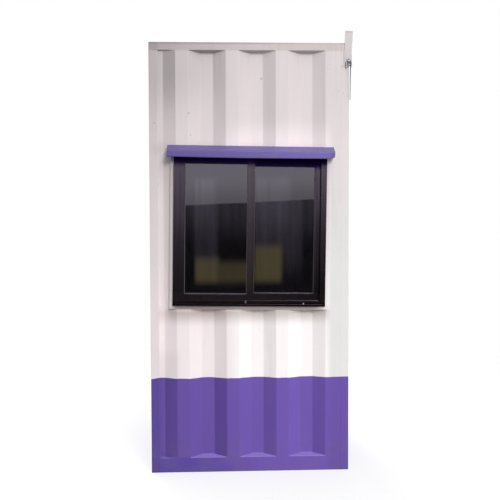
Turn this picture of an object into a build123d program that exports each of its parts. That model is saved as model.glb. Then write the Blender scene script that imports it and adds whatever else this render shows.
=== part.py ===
from build123d import *
import math
import os

# Security guard booth: a one-person cabin of stamped container sheet on a welded steel frame,
# with a sliding window and rain hood in the front wall and a steel door in the back wall.
#
# Frame of the part: +Z up, front wall facing -Y, right wall facing +X, and the origin on the
# ground under the middle of the floor, on the underside of the middle joist. Millimetres.

# ---------------------------------------------------------------- driving dimensions

# cabin, outside
WIDTH = 1200.0  # across the front
DEPTH = 1200.0  # front to back
HEIGHT = 2590.0  # ground to the top of the roof sheet

# stamped sheet of the walls and roof
SKIN = 2.0  # sheet thickness
GROOVE_DEPTH = 36.0  # how far a groove is pressed in
GROOVE_FLOOR = 75.0  # width of the flat floor of a groove
GROOVE_SLOPE = 75.0  # width of each sloping side of a groove
GROOVE_FLAT = 75.0  # width of the flat between two grooves
GROOVE_END = 16.0  # run of the bevel that closes a groove at its ends
FIRST_FLAT = 158.0  # from a wall's left corner to its first whole flat
ROOF_GROOVE_DEPTH = 20.0  # the roof's grooves are shallower

# boards inside
LINING = 12.0  # wall and ceiling boards
FLOOR_BOARD = 18.0

# steel frame
TUBE_WALL = 3.0
BASE_RAIL = 88.0  # height of the base rails
TOP_RAIL = 43.0  # height of the top rails
JOIST_WIDTH = 50.0

# sliding window, square, in the middle of the front wall
WINDOW_SIZE = 920.0  # outside of the aluminium frame, each way
WINDOW_SILL = 1012.0  # ground to the underside of the frame
WINDOW_TILT = 0.85  # degrees: the window and its hood hang a little clockwise of plumb
FRAME_FACE = 34.0  # height of the frame's fins, from its outer edge
FRAME_WALL = 3.0  # thickness of the frame's web and fins
FRAME_PROUD = 17.0  # how far the frame stands in front of its steel surround
TRACK_RAIL = 20.0  # outer edge of the frame to the top of the rails that carry the sashes
TRACK_PLAY = 1.0  # sash face to fin, each side
SASH_THICKNESS = 22.0
SASH_STILE = 48.0
MEETING_STILE = 42.0
MEETING_SHIFT = 5.0  # the left sash is a little the wider, which moves the meeting stiles
SASH_TOP_RAIL = 59.0
SASH_BOTTOM_RAIL = 54.0
SASH_TOP_PLAY = 4.0  # room above a sash, to lift it out
INNER_SASH_SHORT = 11.0  # how much lower the top of the inner sash is
GLASS = 5.0
GLASS_EDGE = 8.0  # how far the glass reaches into its sash

# flat-bar surrounds of the openings
SURROUND_FACE = 20.0  # width of the flange on the outside of the wall
SURROUND_WALL = 3.0

# rain hood over the window
HOOD_LENGTH = 1004.0
HOOD_REACH = 72.0  # from the wall out to the front face
HOOD_FALL = 34.0  # drop of its sloping top
HOOD_FACE = 41.0  # height of its front face
HOOD_RETURN = 12.0  # lip folded in at the foot of the front face
HOOD_FLANGE = 18.0  # strip folded down against the wall
HOOD_FLARE = 3.0  # how much further out an end stands at its foot than at its top
HOOD_SHEET = 2.0
HOOD_GAP = 6.0  # window surround to the hood's flange

# door in the back wall
DOOR_WIDTH = 780.0  # the leaf
DOOR_HEIGHT = 1980.0
DOOR_THICKNESS = 40.0
DOOR_SHEET = 2.0
DOOR_GAP = 3.0  # leaf to frame, all round
HINGE_COUNT = 3
HINGE_HEIGHT = 100.0
HINGE_WING = 28.0  # each wing, from the pin's middle
HINGE_PLATE = 3.0
HINGE_BARREL = 14.0  # diameter
HINGE_INSET = 220.0  # leaf end to the middle of the outer hinges
HANDLE_HEIGHT = 1000.0  # leaf foot to the middle of the handle
HANDLE_LENGTH = 160.0
HANDLE_BAR = 14.0  # diameter of the grip
HANDLE_REACH = 45.0  # leaf to the middle of the grip
HANDLE_INSET = 70.0  # leaf edge to the grip
HANDLE_ROSE = 34.0  # diameter of each foot
HANDLE_ROSE_THICKNESS = 4.0

# lifting strap at the front right corner, with the link that hangs from its bolt
STRAP_WIDTH = 46.0
STRAP_THICKNESS = 6.0
STRAP_INSET = 11.0  # corner to the middle of the strap's foot
STRAP_TILT = 3.0  # degrees that it leans out over the corner
STRAP_ABOVE = 72.0  # above the roof
STRAP_BELOW = 120.0  # below the roof
BOLT_DIAMETER = 10.0
BOLT_HEAD = 17.0  # across the flats
BOLT_HEAD_THICKNESS = 7.0
BOLT_SHANK = 11.0  # strap to the underside of the head
BOLT_RISE = 14.0  # strap foot to the bolt's middle
BOLT_SHIFT = 7.0  # off the strap's middle, towards the corner
LINK_BAR = 9.0  # diameter
LINK_WIDTH = 36.0
LINK_HEIGHT = 72.0
LINK_TAIL = 215.0  # loose wire end that hangs from the link
TAIL_DIAMETER = 5.0

# ---------------------------------------------------------------- derived places

POST = GROOVE_DEPTH + SKIN + LINING  # a wall is as thick as its corner posts
GROOVE_MARGIN = SKIN  # a groove's end to the rail behind the sheet
RAIL_DEPTH = POST - SKIN  # rails stand behind the skin
FRAME_TOP = HEIGHT - SKIN  # the roof sheet lies on the frame
TOP_RAIL_FOOT = FRAME_TOP - TOP_RAIL
GROOVE_OPENING = GROOVE_FLOOR + 2 * GROOVE_SLOPE
GROOVE_PITCH = GROOVE_OPENING + GROOVE_FLAT
FLANGE_FRONT = -SURROUND_WALL  # depth of a surround's outer face, counted into the wall
TRACK = SASH_THICKNESS + 2 * TRACK_PLAY
FRAME_FRONT = FLANGE_FRONT - FRAME_PROUD
FRAME_DEPTH = 3 * FRAME_WALL + 2 * TRACK
WINDOW_TOP = WINDOW_SILL + WINDOW_SIZE
HOOD_TOP = WINDOW_TOP + SURROUND_FACE + HOOD_GAP + HOOD_FLANGE
HOOD_FOOT = HOOD_TOP - HOOD_FALL - HOOD_FACE
DOORWAY_WIDTH = DOOR_WIDTH + 2 * DOOR_GAP
DOORWAY_HEIGHT = DOOR_HEIGHT + 2 * DOOR_GAP
DOORWAY_SILL = BASE_RAIL + SURROUND_WALL
PAST = 5.0  # how far a cutting shape runs past what it cuts

# ---------------------------------------------------------------- shapes

# A wall is drawn as seen from outside: x to the right from its middle, y into the wall from the
# plane of its flats, z up from the ground.


def block(x0, x1, y0, y1, z0, z1):
    """A box between two corners."""
    return Pos((x0 + x1) / 2, (y0 + y1) / 2, (z0 + z1) / 2) * Box(x1 - x0, y1 - y0, z1 - z0)


def ring(width, height, foot, border, y0, y1, head=None, sill=None):
    """A rectangular frame standing on z = foot, with equal sides unless head or sill differ."""
    head = border if head is None else head
    sill = border if sill is None else sill
    top = foot + height
    outside = block(-width / 2, width / 2, y0, y1, foot, top)
    return outside - block(
        border - width / 2, width / 2 - border, y0 - PAST, y1 + PAST, foot + sill, top - head
    )


def tube(length, across, tall):
    """A hollow rail along X, its outside from y = 0 and z = 0, in the middle of x."""
    outside = block(-length / 2, length / 2, 0, across, 0, tall)
    wall = TUBE_WALL
    return outside - block(
        -length / 2 - PAST, length / 2 + PAST, wall, across - wall, wall, tall - wall
    )


def prism_along_z(outline, z0, z1):
    """A prism on an outline of (x, y) points."""
    face = Plane.XY.offset(z0) * make_face(Polyline(*outline, close=True))
    return extrude(face, amount=z1 - z0, dir=(0, 0, 1))


def prism_along_x(outline, x0, x1):
    """A prism on an outline of (y, z) points."""
    face = Plane.YZ.offset(x0) * make_face(Polyline(*outline, close=True))
    return extrude(face, amount=x1 - x0, dir=(1, 0, 0))


def groove(middle, foot, top, depth, thickness=0.0):
    """The hollow of one closed groove, or the same grown by the sheet's thickness."""
    start = 0.0 if thickness else -PAST
    end = depth + thickness

    def half(opening, run, at):
        """Half the width at a depth, with the side moved out square to itself."""
        growth = thickness / math.sin(math.atan2(depth, run))
        return opening / 2 - run * at / depth + growth

    across = [half(GROOVE_OPENING, GROOVE_SLOPE, at) for at in (start, end)]
    along = [half(top - foot, GROOVE_END, at) for at in (start, end)]
    centre = (foot + top) / 2
    plan = [
        (middle - across[0], start),
        (middle + across[0], start),
        (middle + across[1], end),
        (middle - across[1], end),
    ]
    side = [
        (start, centre - along[0]),
        (start, centre + along[0]),
        (end, centre + along[1]),
        (end, centre - along[1]),
    ]
    sides = prism_along_z(plan, foot - 2 * PAST - depth, top + 2 * PAST + depth)
    ends = prism_along_x(side, middle - GROOVE_PITCH, middle + GROOVE_PITCH)
    return sides & ends


def stamped_sheet(length, foot, top, groove_foot, groove_top, depth, first_middle):
    """A sheet with upright grooves from the first one's middle on, cut to length."""
    sheet = block(-length / 2, length / 2, 0, SKIN, foot, top)
    limits = block(-length / 2, length / 2, -PAST, depth + SKIN + PAST, foot, top)
    middle = first_middle
    while middle + GROOVE_OPENING / 2 < length / 2:
        pressed = groove(middle, groove_foot, groove_top, depth, SKIN) & limits
        sheet = sheet + pressed - groove(middle, groove_foot, groove_top, depth)
        middle += GROOVE_PITCH
    return sheet


def wall_skin(length):
    """The outer sheet of one wall, between two corner posts, which cut its first groove."""
    first_middle = FIRST_FLAT - GROOVE_OPENING / 2 - length / 2 - POST
    foot = BASE_RAIL + GROOVE_MARGIN
    top = TOP_RAIL_FOOT - GROOVE_MARGIN
    return stamped_sheet(length, 0, FRAME_TOP, foot, top, GROOVE_DEPTH, first_middle)


def roof_sheet():
    """The roof, drawn as a wall: its grooves run front to back and are all whole."""
    grooves = math.floor((WIDTH - 2 * POST) / GROOVE_PITCH)
    first_middle = -(grooves - 1) * GROOVE_PITCH / 2
    half = DEPTH / 2
    end = half - POST - GROOVE_MARGIN
    return stamped_sheet(WIDTH, -half, half, -end, end, ROOF_GROOVE_DEPTH, first_middle)


def wall_lining(length):
    """The inner board of one wall, between the base rail and the top rail."""
    return block(-length / 2, length / 2, POST - LINING, POST, BASE_RAIL, TOP_RAIL_FOOT)


def opening(width, height, sill):
    """What is cut through a wall for a surround that is width by height inside."""
    half = width / 2 + SURROUND_WALL
    top = sill + height + SURROUND_WALL
    return block(-half, half, -PAST, POST + PAST, sill - SURROUND_WALL, top)


def surround(width, height, sill):
    """A flat-bar sleeve through the wall, with a flange on the outside."""
    border = SURROUND_WALL
    sleeve = ring(width + 2 * border, height + 2 * border, sill - border, border, 0, POST)
    flange = ring(
        width + 2 * SURROUND_FACE,
        height + 2 * SURROUND_FACE,
        sill - SURROUND_FACE,
        SURROUND_FACE,
        FLANGE_FRONT,
        0,
    )
    return sleeve + flange


# ---------------------------------------------------------------- window


def window_frame():
    """Aluminium frame: a web all round, three fins and two rails, which make two tracks."""
    web_back = FRAME_FRONT + FRAME_DEPTH
    frame = ring(WINDOW_SIZE, WINDOW_SIZE, WINDOW_SILL, FRAME_WALL, FRAME_FRONT, web_back)
    for fin in range(3):
        front = FRAME_FRONT + fin * (FRAME_WALL + TRACK)
        frame += ring(
            WINDOW_SIZE, WINDOW_SIZE, WINDOW_SILL, FRAME_FACE, front, front + FRAME_WALL
        )
    half = WINDOW_SIZE / 2 - FRAME_WALL
    for track in range(2):
        middle = track_middle(track)
        frame += block(
            -half,
            half,
            middle - FRAME_WALL / 2,
            middle + FRAME_WALL / 2,
            WINDOW_SILL,
            WINDOW_SILL + TRACK_RAIL,
        )
    return frame


def track_middle(track):
    """Depth of the middle of the outer track (0) or the inner one (1)."""
    return FRAME_FRONT + FRAME_WALL + TRACK / 2 + track * (FRAME_WALL + TRACK)


SASH_FOOT = WINDOW_SILL + TRACK_RAIL
SASH_OUTER = WINDOW_SIZE / 2 - FRAME_WALL  # a closed sash stands against the jamb
SASH_INNER = MEETING_STILE / 2  # past the middle of the window


def sash_top(track):
    """Height of the top of the sash in the outer track (0) or the inner one (1)."""
    return WINDOW_TOP - FRAME_WALL - SASH_TOP_PLAY - track * INNER_SASH_SHORT


def sash_glass(track, side):
    """The pane of a sash; side is -1 for the left sash and +1 for the right one."""
    middle = track_middle(track)
    edge = side * (SASH_OUTER - SASH_STILE - stile_cover() + GLASS_EDGE)
    meeting = MEETING_SHIFT - side * (SASH_INNER - MEETING_STILE + GLASS_EDGE)
    return block(
        min(edge, meeting),
        max(edge, meeting),
        middle - GLASS / 2,
        middle + GLASS / 2,
        SASH_FOOT + SASH_BOTTOM_RAIL - GLASS_EDGE,
        sash_top(track) - SASH_TOP_RAIL + GLASS_EDGE,
    )


def stile_cover():
    """What the jamb hides of an outer stile beyond what the track rails hide of a bottom rail."""
    return TRACK_RAIL - FRAME_WALL


def sash(track, side):
    """A sash: stiles and rails round its pane, grooved for the glass."""
    middle = track_middle(track)
    front = middle - SASH_THICKNESS / 2
    back = middle + SASH_THICKNESS / 2
    outer = side * SASH_OUTER
    inner = MEETING_SHIFT - side * SASH_INNER
    body = block(min(outer, inner), max(outer, inner), front, back, SASH_FOOT, sash_top(track))
    glass_outer = side * (SASH_OUTER - SASH_STILE - stile_cover())
    glass_inner = MEETING_SHIFT - side * (SASH_INNER - MEETING_STILE)
    light = block(
        min(glass_outer, glass_inner),
        max(glass_outer, glass_inner),
        front - PAST,
        back + PAST,
        SASH_FOOT + SASH_BOTTOM_RAIL,
        sash_top(track) - SASH_TOP_RAIL,
    )
    return body - light - sash_glass(track, side)


# ---------------------------------------------------------------- rain hood


def hood_body(inset):
    """The hood as a closed body, each sheet face moved in by inset, open below when inset."""
    slope = math.hypot(HOOD_REACH, HOOD_FALL)
    drop = inset * slope / HOOD_REACH
    foot = HOOD_FOOT - PAST if inset else HOOD_FOOT
    fall = HOOD_FALL / HOOD_REACH
    profile = [
        (-inset, foot),
        (-inset, HOOD_TOP - drop - inset * fall),
        (inset - HOOD_REACH, HOOD_TOP - drop - (HOOD_REACH - inset) * fall),
        (inset - HOOD_REACH, foot),
    ]
    half = HOOD_LENGTH / 2
    body = prism_along_x(profile, -half - PAST, half + PAST)
    flare = HOOD_FLARE / (HOOD_TOP - HOOD_FOOT)
    top = HOOD_TOP + PAST
    ends = [
        (-half + inset + (HOOD_TOP - HOOD_FOOT) * flare + PAST * flare, top),
        (half - inset - (HOOD_TOP - HOOD_FOOT) * flare - PAST * flare, top),
        (half - inset + PAST * flare, HOOD_FOOT - PAST),
        (-half + inset - PAST * flare, HOOD_FOOT - PAST),
    ]
    face = Plane.XZ.offset(-PAST) * make_face(Polyline(*ends, close=True))
    return body & extrude(face, amount=HOOD_REACH + 2 * PAST, dir=(0, -1, 0))


def rain_hood():
    """Folded sheet: sloping top, front face, closed ends, a wall flange and a folded-in lip."""
    hood = hood_body(0) - hood_body(HOOD_SHEET)
    half = HOOD_LENGTH / 2 - HOOD_FLARE - HOOD_SHEET
    below_flange = block(-half, half, -HOOD_SHEET, 0, HOOD_FOOT, HOOD_TOP - HOOD_FLANGE)
    lip_back = HOOD_RETURN - HOOD_REACH
    lip = block(-half, half, -HOOD_REACH + HOOD_SHEET, lip_back, HOOD_FOOT, HOOD_FOOT + HOOD_SHEET)
    return hood - below_flange + lip


# ---------------------------------------------------------------- door

DOOR_FACE = FLANGE_FRONT  # the leaf's face is flush with its frame's flange
DOOR_FOOT = DOORWAY_SILL + DOOR_GAP
HINGE_SIDE = -1  # hinged on the left, seen from outside


def door_leaf():
    """A folded steel pan, open to the inside."""
    half = DOOR_WIDTH / 2
    top = DOOR_FOOT + DOOR_HEIGHT
    sheet = DOOR_SHEET
    pan = block(-half, half, DOOR_FACE, DOOR_FACE + DOOR_THICKNESS, DOOR_FOOT, top)
    return pan - block(
        sheet - half,
        half - sheet,
        DOOR_FACE + sheet,
        DOOR_FACE + DOOR_THICKNESS + PAST,
        DOOR_FOOT + sheet,
        top - sheet,
    )


def door_lining():
    """The board that closes the pan, flush with its edges."""
    half = DOOR_WIDTH / 2 - DOOR_SHEET
    back = DOOR_FACE + DOOR_THICKNESS
    foot = DOOR_FOOT + DOOR_SHEET
    top = DOOR_FOOT + DOOR_HEIGHT - DOOR_SHEET
    return block(-half, half, back - LINING, back, foot, top)


def door_hinge(height):
    """One butt hinge on the faces of the frame and the leaf, its pin over the gap."""
    pin = HINGE_SIDE * (DOOR_WIDTH + DOOR_GAP) / 2
    plate = block(
        pin - HINGE_WING,
        pin + HINGE_WING,
        DOOR_FACE - HINGE_PLATE,
        DOOR_FACE,
        height - HINGE_HEIGHT / 2,
        height + HINGE_HEIGHT / 2,
    )
    barrel = Cylinder(HINGE_BARREL / 2, HINGE_HEIGHT)
    barrel = Pos(pin, DOOR_FACE - HINGE_BARREL / 2, height) * barrel
    return plate + barrel


def door_hinges():
    """All the hinges, spread evenly between the outer ones."""
    lowest = DOOR_FOOT + HINGE_INSET
    spread = DOOR_HEIGHT - 2 * HINGE_INSET
    heights = [lowest + spread * k / (HINGE_COUNT - 1) for k in range(HINGE_COUNT)]
    return Compound(children=[door_hinge(height).solid() for height in heights])


def door_handle():
    """A D handle: a round grip bent back to two round feet on the leaf."""
    x = -HINGE_SIDE * (DOOR_WIDTH / 2 - HANDLE_INSET)
    middle = DOOR_FOOT + HANDLE_HEIGHT
    low = middle - HANDLE_LENGTH / 2
    high = middle + HANDLE_LENGTH / 2
    grip = DOOR_FACE - HANDLE_REACH
    path = FilletPolyline(
        (x, DOOR_FACE, low), (x, grip, low), (x, grip, high), (x, DOOR_FACE, high), radius=HANDLE_BAR
    )
    section = Plane(origin=(x, DOOR_FACE, low), z_dir=(0, -1, 0)) * Circle(HANDLE_BAR / 2)
    handle = sweep(section, path=path)
    for height in (low, high):
        rose = Rot(90, 0, 0) * Cylinder(HANDLE_ROSE / 2, HANDLE_ROSE_THICKNESS)
        handle += Pos(x, DOOR_FACE - HANDLE_ROSE_THICKNESS / 2, height) * rose
    return handle


# ---------------------------------------------------------------- corner strap

STRAP_FOOT = HEIGHT - STRAP_BELOW
STRAP_MIDDLE = WIDTH / 2 - STRAP_INSET
BOLT_X = STRAP_MIDDLE + BOLT_SHIFT
BOLT_Z = STRAP_FOOT + BOLT_RISE


def corner_strap():
    """A flat bar welded to the front of the corner post, rising above the roof."""
    half = STRAP_WIDTH / 2
    bar = block(-half, half, -STRAP_THICKNESS, 0, 0, STRAP_BELOW + STRAP_ABOVE)
    return Pos(STRAP_MIDDLE, 0, STRAP_FOOT) * (Rot(0, STRAP_TILT, 0) * bar)


def strap_bolt():
    """A hexagon-headed stud on the strap, which holds the link."""
    shank = Rot(90, 0, 0) * Cylinder(BOLT_DIAMETER / 2, BOLT_SHANK)
    head = RegularPolygon(BOLT_HEAD / 2, 6, major_radius=False)
    head = Rot(90, 0, 0) * extrude(head, BOLT_HEAD_THICKNESS)
    front = -STRAP_THICKNESS - BOLT_SHANK
    shank = Pos(BOLT_X, front + BOLT_SHANK / 2, BOLT_Z) * shank
    return shank + Pos(BOLT_X, front, BOLT_Z) * head


def strap_link():
    """A long link hung on the stud, with the loose end of its binding wire."""
    y = -STRAP_THICKNESS - BOLT_SHANK / 2
    top = BOLT_Z + BOLT_DIAMETER / 2 + LINK_BAR / 2
    radius = (LINK_WIDTH - LINK_BAR) / 2
    straight = LINK_HEIGHT - LINK_WIDTH
    low = top - radius - straight
    left = BOLT_X - radius
    right = BOLT_X + radius
    section = Circle(LINK_BAR / 2)
    up = Plane(origin=(left, y, low), z_dir=(0, 0, 1)) * section
    link = extrude(up, amount=straight, dir=(0, 0, 1))
    link += extrude(Pos(right - left, 0, 0) * up, amount=straight, dir=(0, 0, 1))
    axis = Axis((BOLT_X, y, low), (0, 1, 0))
    bow = revolve(up, axis=axis, revolution_arc=180)
    if bow.bounding_box().min.Z > low - radius / 2:
        bow = revolve(up, axis=axis, revolution_arc=-180)
    link += bow
    crown = bow.mirror(Plane.XY.offset(low + straight / 2))
    link += crown
    tail = Pos(right, y, low - LINK_TAIL / 2) * Cylinder(TAIL_DIAMETER / 2, LINK_TAIL)
    return link + tail


# ---------------------------------------------------------------- assembly

parts = {}


def on_wall(shape, turn, out):
    """A wall's shape, turned to its side and set at its distance from the origin."""
    return Rot(0, 0, turn) * (Pos(0, -out, 0) * shape)


def hung(shape):
    """The window's or hood's shape, turned out of plumb about the middle of the window."""
    middle = WINDOW_SILL + WINDOW_SIZE / 2
    return Pos(0, 0, middle) * (Rot(0, WINDOW_TILT, 0) * (Pos(0, 0, -middle) * shape))


FRONT = (0, DEPTH / 2)
RIGHT = (90, WIDTH / 2)
BACK = (180, DEPTH / 2)
LEFT = (270, WIDTH / 2)
SIDES = {"front": FRONT, "right": RIGHT, "back": BACK, "left": LEFT}
LENGTHS = {side: WIDTH - 2 * POST for side in ("front", "back")}
LENGTHS.update({side: DEPTH - 2 * POST for side in ("left", "right")})
OPENINGS = {
    "front": hung(opening(WINDOW_SIZE, WINDOW_SIZE, WINDOW_SILL)),
    "back": opening(DOORWAY_WIDTH, DOORWAY_HEIGHT, DOORWAY_SILL),
}

# walls, rails and posts
for side, place in SIDES.items():
    length = LENGTHS[side]
    skin = wall_skin(length)
    lining = wall_lining(length)
    if side in OPENINGS:
        skin -= OPENINGS[side]
        lining -= OPENINGS[side]
    base = Pos(0, SKIN, 0) * tube(length, RAIL_DEPTH, BASE_RAIL)
    top = Pos(0, SKIN, TOP_RAIL_FOOT) * tube(length, RAIL_DEPTH, TOP_RAIL)
    parts[f"{side}_wall"] = on_wall(skin, *place)
    parts[f"{side}_lining"] = on_wall(lining, *place)
    parts[f"base_rail_{side}"] = on_wall(base, *place)
    parts[f"top_rail_{side}"] = on_wall(top, *place)

post = Pos(0, 0, FRAME_TOP / 2) * (
    Box(POST, POST, FRAME_TOP)
    - Box(POST - 2 * TUBE_WALL, POST - 2 * TUBE_WALL, FRAME_TOP + PAST)
)
for along, y in (("front", POST / 2 - DEPTH / 2), ("back", DEPTH / 2 - POST / 2)):
    for across, x in (("left", POST / 2 - WIDTH / 2), ("right", WIDTH / 2 - POST / 2)):
        parts[f"corner_post_{along}_{across}"] = Pos(x, y, 0) * post

# floor
room_x = WIDTH / 2 - POST
room_y = DEPTH / 2 - POST
joist = Rot(0, 0, 90) * (
    Pos(0, -JOIST_WIDTH / 2, 0) * tube(2 * room_y, JOIST_WIDTH, BASE_RAIL - FLOOR_BOARD)
)
for name, share in (("left", -1), ("middle", 0), ("right", 1)):
    parts[f"floor_joist_{name}"] = Pos(share * WIDTH / 3, 0, 0) * joist
parts["floor_board"] = block(-room_x, room_x, -room_y, room_y, BASE_RAIL - FLOOR_BOARD, BASE_RAIL)

# ceiling and roof
ceiling_foot = TOP_RAIL_FOOT - LINING
parts["ceiling_board"] = block(-room_x, room_x, -room_y, room_y, ceiling_foot, TOP_RAIL_FOOT)
parts["roof_sheet"] = Pos(0, 0, HEIGHT) * (Rot(-90, 0, 0) * roof_sheet())

# window and hood
window = {
    "window_surround": surround(WINDOW_SIZE, WINDOW_SIZE, WINDOW_SILL),
    "window_frame": window_frame(),
    "rain_hood": rain_hood(),
}
for name, track, side in (("left", 0, -1), ("right", 1, 1)):
    window[f"window_sash_{name}"] = sash(track, side)
    window[f"window_glass_{name}"] = sash_glass(track, side)
for name, shape in window.items():
    parts[name] = on_wall(hung(shape), *FRONT)

# door
parts["door_frame"] = on_wall(surround(DOORWAY_WIDTH, DOORWAY_HEIGHT, DOORWAY_SILL), *BACK)
parts["door_leaf"] = on_wall(door_leaf(), *BACK)
parts["door_lining"] = on_wall(door_lining(), *BACK)
parts["door_hinges"] = on_wall(door_hinges(), *BACK)
parts["door_handle"] = on_wall(door_handle(), *BACK)

# corner strap
parts["corner_strap"] = on_wall(corner_strap(), *FRONT)
parts["strap_bolt"] = on_wall(strap_bolt(), *FRONT)
parts["strap_link"] = on_wall(strap_link(), *FRONT)

os.makedirs("parts", exist_ok=True)
for name, shape in parts.items():
    export_step(shape, f"parts/{name}.step")
    print(name, round(shape.volume), shape.bounding_box().size)
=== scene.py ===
# %% [markdown]
# # A steel guard booth, dressed for its portrait
# The booth is a cabin of stamped container sheet on a welded frame, painted white above and
# purple below, with a dark sliding window under a purple rain hood. Its construction comes packed
# as exact solids in metres. This notebook keeps those that already look right, models finer ones
# where a fold, a mitre or a weld shows, and gives every surface a finish built from nodes.

# %% Load the packed construction
import math
import bmesh
import bpy
from mathutils import Matrix, Vector


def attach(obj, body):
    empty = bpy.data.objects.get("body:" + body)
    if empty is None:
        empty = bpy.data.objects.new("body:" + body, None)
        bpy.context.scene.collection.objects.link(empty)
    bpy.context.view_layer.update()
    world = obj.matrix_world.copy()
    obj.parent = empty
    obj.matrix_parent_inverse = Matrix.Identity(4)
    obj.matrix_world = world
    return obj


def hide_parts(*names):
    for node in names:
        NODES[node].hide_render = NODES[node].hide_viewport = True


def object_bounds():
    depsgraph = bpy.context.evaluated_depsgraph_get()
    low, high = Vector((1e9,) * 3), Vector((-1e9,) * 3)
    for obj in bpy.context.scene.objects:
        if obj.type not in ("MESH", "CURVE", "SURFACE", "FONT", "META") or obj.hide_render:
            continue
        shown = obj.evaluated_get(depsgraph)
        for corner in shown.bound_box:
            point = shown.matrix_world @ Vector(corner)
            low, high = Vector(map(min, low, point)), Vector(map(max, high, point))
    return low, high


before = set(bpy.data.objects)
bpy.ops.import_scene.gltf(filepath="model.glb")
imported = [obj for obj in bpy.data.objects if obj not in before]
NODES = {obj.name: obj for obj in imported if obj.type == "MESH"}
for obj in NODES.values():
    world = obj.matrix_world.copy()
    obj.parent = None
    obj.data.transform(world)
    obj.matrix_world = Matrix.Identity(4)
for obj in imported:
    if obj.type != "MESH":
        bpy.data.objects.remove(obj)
CAD_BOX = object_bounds()
scene = bpy.context.scene
box = [tuple(round(v, 3) for v in corner) for corner in CAD_BOX]
print(len(NODES), "construction pieces in the box", *box)

# %% [markdown]
# ## Camera
# A person stands a little left of the booth's middle, about five and a half metres away, and
# looks slightly down and to the right. Distance sets how strongly upright lines converge, and the
# focal length then sets how large the booth is, so the two are chosen in that order.

# %% Camera
WALL_OUT = 0.6  # metres from the booth's middle to the face of each wall
EYE = Vector((-0.272, -6.0155, 1.605))
LOOK_RIGHT, LOOK_DOWN, ROLL = 2.88, 2.69, -0.175  # degrees
FOCAL_LENGTH = 64.8


def turned(degrees, axis):
    """A turn about one axis."""
    return Matrix.Rotation(math.radians(degrees), 4, axis)


def stand(name, data, place):
    """Stands a camera or lamp in the scene."""
    thing = bpy.data.objects.new(name, data)
    scene.collection.objects.link(thing)
    thing.matrix_world = place
    return thing


camera_data = bpy.data.cameras.new("camera")
camera_data.lens = FOCAL_LENGTH
look = turned(-LOOK_RIGHT, "Z") @ turned(90 - LOOK_DOWN, "X") @ turned(ROLL, "Z")
scene.camera = stand("camera", camera_data, Matrix.Translation(EYE) @ look)
print("camera", round(-WALL_OUT - EYE.y, 2), "m in front of the wall")

# %% [markdown]
# ## Nodes, written briefly
# Every finish below is a tree of shader nodes. Two small helpers keep that readable. A recipe adds
# a node, sets its options, and either links or fills each named input. A wire is what comes out of
# a node: it can be added, multiplied and compared like a number, and each sign adds a Math node.

# %% Wires
scene.view_settings.view_transform = "Standard"


class Wire:
    """A value on its way from node to node. Arithmetic on it adds Math nodes."""

    def __init__(self, recipe, socket):
        self.recipe, self.socket = recipe, socket

    def math(self, operation, other=0.0):
        return self.recipe.add("Math", {0: self, 1: other}, operation=operation)

    def __mul__(self, other):
        return self.math("MULTIPLY", other)

    def __add__(self, other):
        return self.math("ADD", other)

    def __sub__(self, other):
        return self.math("SUBTRACT", other)

    def __rsub__(self, other):
        return self * -1.0 + other

    def __abs__(self):
        return self.math("ABSOLUTE")

    def larger(self, other):
        return self.math("MAXIMUM", other)

    def clamped(self):
        self.socket.node.use_clamp = True
        return self

    def span(self, low, high, start=0.0, end=1.0, kind="SMOOTHSTEP"):
        """The value carried from low..high to start..end and held there."""
        inputs = {0: self, 1: low, 2: high, 3: start, 4: end}
        return self.recipe.add("MapRange", inputs, interpolation_type=kind)


print("a wire can be", [name for name in vars(Wire) if not name.endswith("__")])


# %% Recipes
class Recipe:
    """Adds nodes to one tree; an input given a wire is linked, and one given a value is set."""

    def __init__(self, tree):
        self.tree = tree

    def node(self, kind, inputs=None, **options):
        node = self.tree.nodes.new("ShaderNode" + kind)
        for key, value in options.items():
            setattr(node, key, value)
        for key, value in (inputs or {}).items():
            if isinstance(value, Wire):
                self.tree.links.new(value.socket, node.inputs[key])
            else:
                node.inputs[key].default_value = value
        return node

    def add(self, kind, inputs=None, out=0, **options):
        """One output of a new node."""
        return Wire(self, self.node(kind, inputs, **options).outputs[out])

    def wires(self, kind, inputs=None, **options):
        """All outputs of a new node, by name."""
        return {s.name: Wire(self, s) for s in self.node(kind, inputs, **options).outputs}

    def xyz(self, vector):
        return self.wires("SeparateXYZ", {0: vector}).values()

    def use(self, group, **values):
        """Places a node group; _ stands for a space in its inputs' names."""
        inputs = {key.replace("_", " "): value for key, value in values.items()}
        return self.wires("Group", inputs, node_tree=group)

    def mix(self, factor, a, b, blend="MIX"):
        return self.add("Mix", {0: factor, 6: a, 7: b}, out=2, data_type="RGBA", blend_type=blend)

    def tint(self, a, b):
        return self.mix(1.0, a, b, "MULTIPLY")

    def noise(self, size, detail=2.0, stretch=(1, 1, 1), roughness=0.5):
        """Noise whose features are about size metres across, pulled out by stretch."""
        scale = [1 / (size * s) for s in stretch]
        mapped = self.add("Mapping", {"Vector": self.place, "Scale": scale})
        inputs = {"Vector": mapped, "Scale": 1.0, "Detail": detail, "Roughness": roughness}
        return self.add("TexNoise", inputs)


print("a recipe knows", [name for name in vars(Recipe) if not name.endswith("__")])


# %% Finishes
def recipe_for(owner):
    """An emptied recipe for a world or a material."""
    owner.use_nodes = True
    owner.node_tree.nodes.clear()
    return Recipe(owner.node_tree)


def new_finish(name):
    """A material with nothing in it yet, and the recipe that fills it."""
    material = bpy.data.materials.new(name)
    r = recipe_for(material)
    r.place = r.add("TexCoord", out="Object")
    return material, r


print("recipes are ready")

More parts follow.
